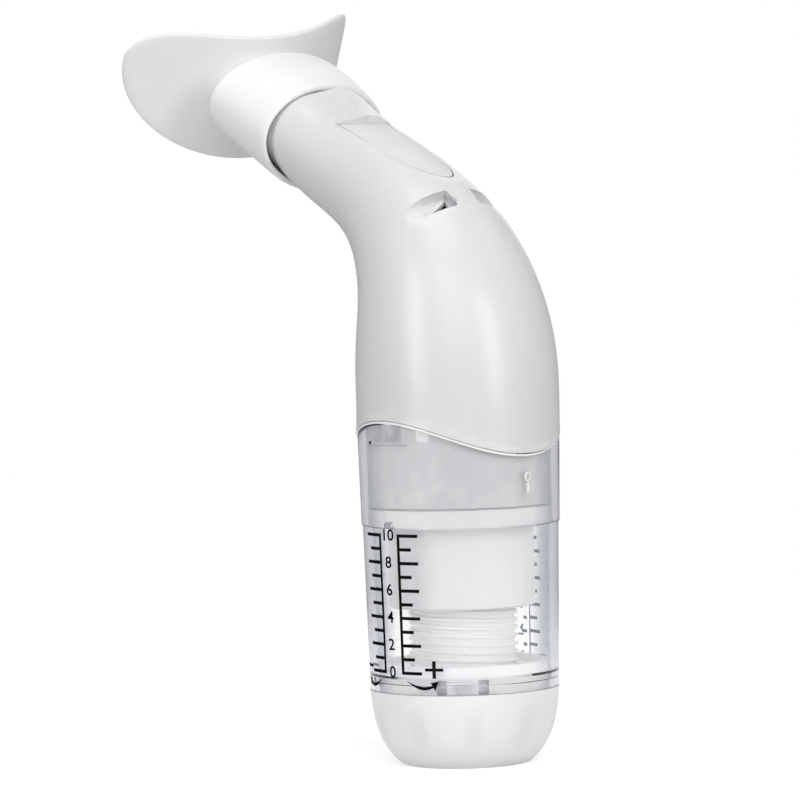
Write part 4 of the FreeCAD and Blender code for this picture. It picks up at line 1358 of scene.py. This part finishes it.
@dataclass
class Studio:
    """The floor, the lamps, the pale surroundings and the camera."""

    camera_turn: float = 49.1
    camera_distance: float = 1.1004
    camera_height: float = 0.1355
    look_turn: float = 0.749
    look_down: float = 2.321
    roll: float = -1.508
    focal_pixels: float = 4401.6
    sensor: float = 36.0
    floor_half: float = 1.5
    floor_z: float = -0.0002
    floor_tones: tuple[float, float] = (0.72, 0.75)
    floor_glow: float = 0.55
    world_light: tuple[float, float] = (0.3, 1.0)
    floor_near: float = 0.16
    floor_far: float = 0.45

    def camera(self) -> bpy.types.Object:
        """The camera at the photograph's place, angle and lens."""
        lens = bpy.data.cameras.new("photo_camera")
        lens.sensor_width = self.sensor
        lens.lens = self.focal_pixels / PICTURE_SIDE * self.sensor
        lens.clip_start, lens.clip_end = 0.05, 50.0
        camera = linked("photo_camera", lens)
        place = math.radians(self.camera_turn)
        turn = math.radians(self.camera_turn + self.look_turn)
        down = math.radians(self.look_down)
        flat = math.cos(down)
        look = Vector((-math.sin(turn) * flat, math.cos(turn) * flat, -math.sin(down)))
        level = Vector((math.cos(turn), math.sin(turn), 0.0))
        upright = level.cross(look)
        roll = math.radians(self.roll)
        right = level * math.cos(roll) + upright * math.sin(roll)
        up = upright * math.cos(roll) - level * math.sin(roll)
        turned = Matrix((right, up, -look)).transposed().to_4x4()
        away = self.camera_distance
        aside, back = math.sin(place) * away, -math.cos(place) * away
        turned.translation = Vector((aside, back, self.camera_height))
        camera.matrix_world = turned
        bpy.context.scene.camera = camera
        return camera

    def floor(self) -> bpy.types.Object:
        """The plain pale floor."""
        square = np.array([[-1, -1, 0], [1, -1, 0], [1, 1, 0], [-1, 1, 0]]) * self.floor_half
        floor = mesh_object("pale_floor", square, [(0, 1, 2, 3)], smooth=False)
        floor.location.z = self.floor_z
        material, bench, shader = new_material("pale_floor")
        nodes, links = material.node_tree.nodes, material.node_tree.links
        point = bench.add("TexCoord", out="Object")
        noise = bench.add("TexNoise", Vector=point, Scale=3.0, Detail=2.0)
        low, high = ((tone, tone, tone, 1.0) for tone in self.floor_tones)
        bench.feed(shader.inputs["Base Color"], bench.mixed(bench.ranged(noise, 0.4, 0.6), low, high))
        path = nodes.new("ShaderNodeLightPath")
        rays = path.outputs
        glossy = bench.maths("MAXIMUM", rays["Is Glossy Ray"], rays["Is Transmission Ray"])
        seen = bench.maths("MAXIMUM", rays["Is Camera Ray"], glossy)
        set_inputs(shader, {"Roughness": 0.9, "Specular IOR Level": 0.0})
        set_inputs(shader, {"Emission Color": (1.0, 1.0, 1.0, 1.0)})
        glow = bench.maths("MULTIPLY", seen, self.floor_glow)
        bench.feed(shader.inputs["Emission Strength"], glow)
        clear = nodes.new("ShaderNodeBsdfTransparent")
        fade = nodes.new("ShaderNodeMixShader")
        reach = bench.add("VectorMath", out="Value", operation="LENGTH", i0=point)
        bench.feed(fade.inputs[0], bench.ranged(reach, self.floor_near, self.floor_far))
        links.new(shader.outputs[0], fade.inputs[1])
        links.new(clear.outputs[0], fade.inputs[2])
        links.new(fade.outputs[0], nodes["Material Output"].inputs["Surface"])
        floor.data.materials.append(material)
        return floor

    def surroundings(self) -> None:
        """A white surround for the camera and for mirror rays, and a dimmer one for light."""
        world = bpy.data.worlds.new("pale_studio")
        world.use_nodes = True
        bpy.context.scene.world = world
        bench = NodeBench(world.node_tree)
        back = world.node_tree.nodes["Background"]
        path = world.node_tree.nodes.new("ShaderNodeLightPath")
        rays = path.outputs
        seen = bench.maths("MAXIMUM", rays["Is Camera Ray"], rays["Is Transmission Ray"])
        back.inputs["Color"].default_value = (1.0, 1.0, 1.0, 1.0)
        bench.feed(back.inputs["Strength"], bench.ranged(seen, 0.0, 1.0, self.world_light))

    def build(self) -> None:
        """Builds the whole studio."""
        bpy.context.scene.view_settings.view_transform = "Standard"
        self.surroundings()
        self.floor()
        self.camera()
        for lamp in LAMPS:
            lamp.build(self.camera_turn)
        LOG.info("the studio is lit")


def main() -> None:
    """Builds every piece, dresses the CAD nodes and sets the studio."""
    logging.basicConfig(level=logging.INFO, format="%(name)s: %(message)s")
    Studio().build()
    dress_cad_nodes()
    Mouthpiece().build()
    ThumbPad().build()
    ThreadedScrew().build()
    for side in Side:
        PrintedScale(side).build()
    SleeveTrim().build()
    collar_backing()
    CoilSpring().build()
    SoftRing("duct_seal", Bodies.SLEEVE).build()
    SoftRing("handle_seal", Bodies.SLEEVE).build()
    SoftRing("poppet_seal", Bodies.POPPET).build()
    SoftFlap("exhale_flap_left", Bodies.FLAP_LEFT).build()
    SoftFlap("exhale_flap_right", Bodies.FLAP_RIGHT).build()


if __name__ == "__main__":
    main()
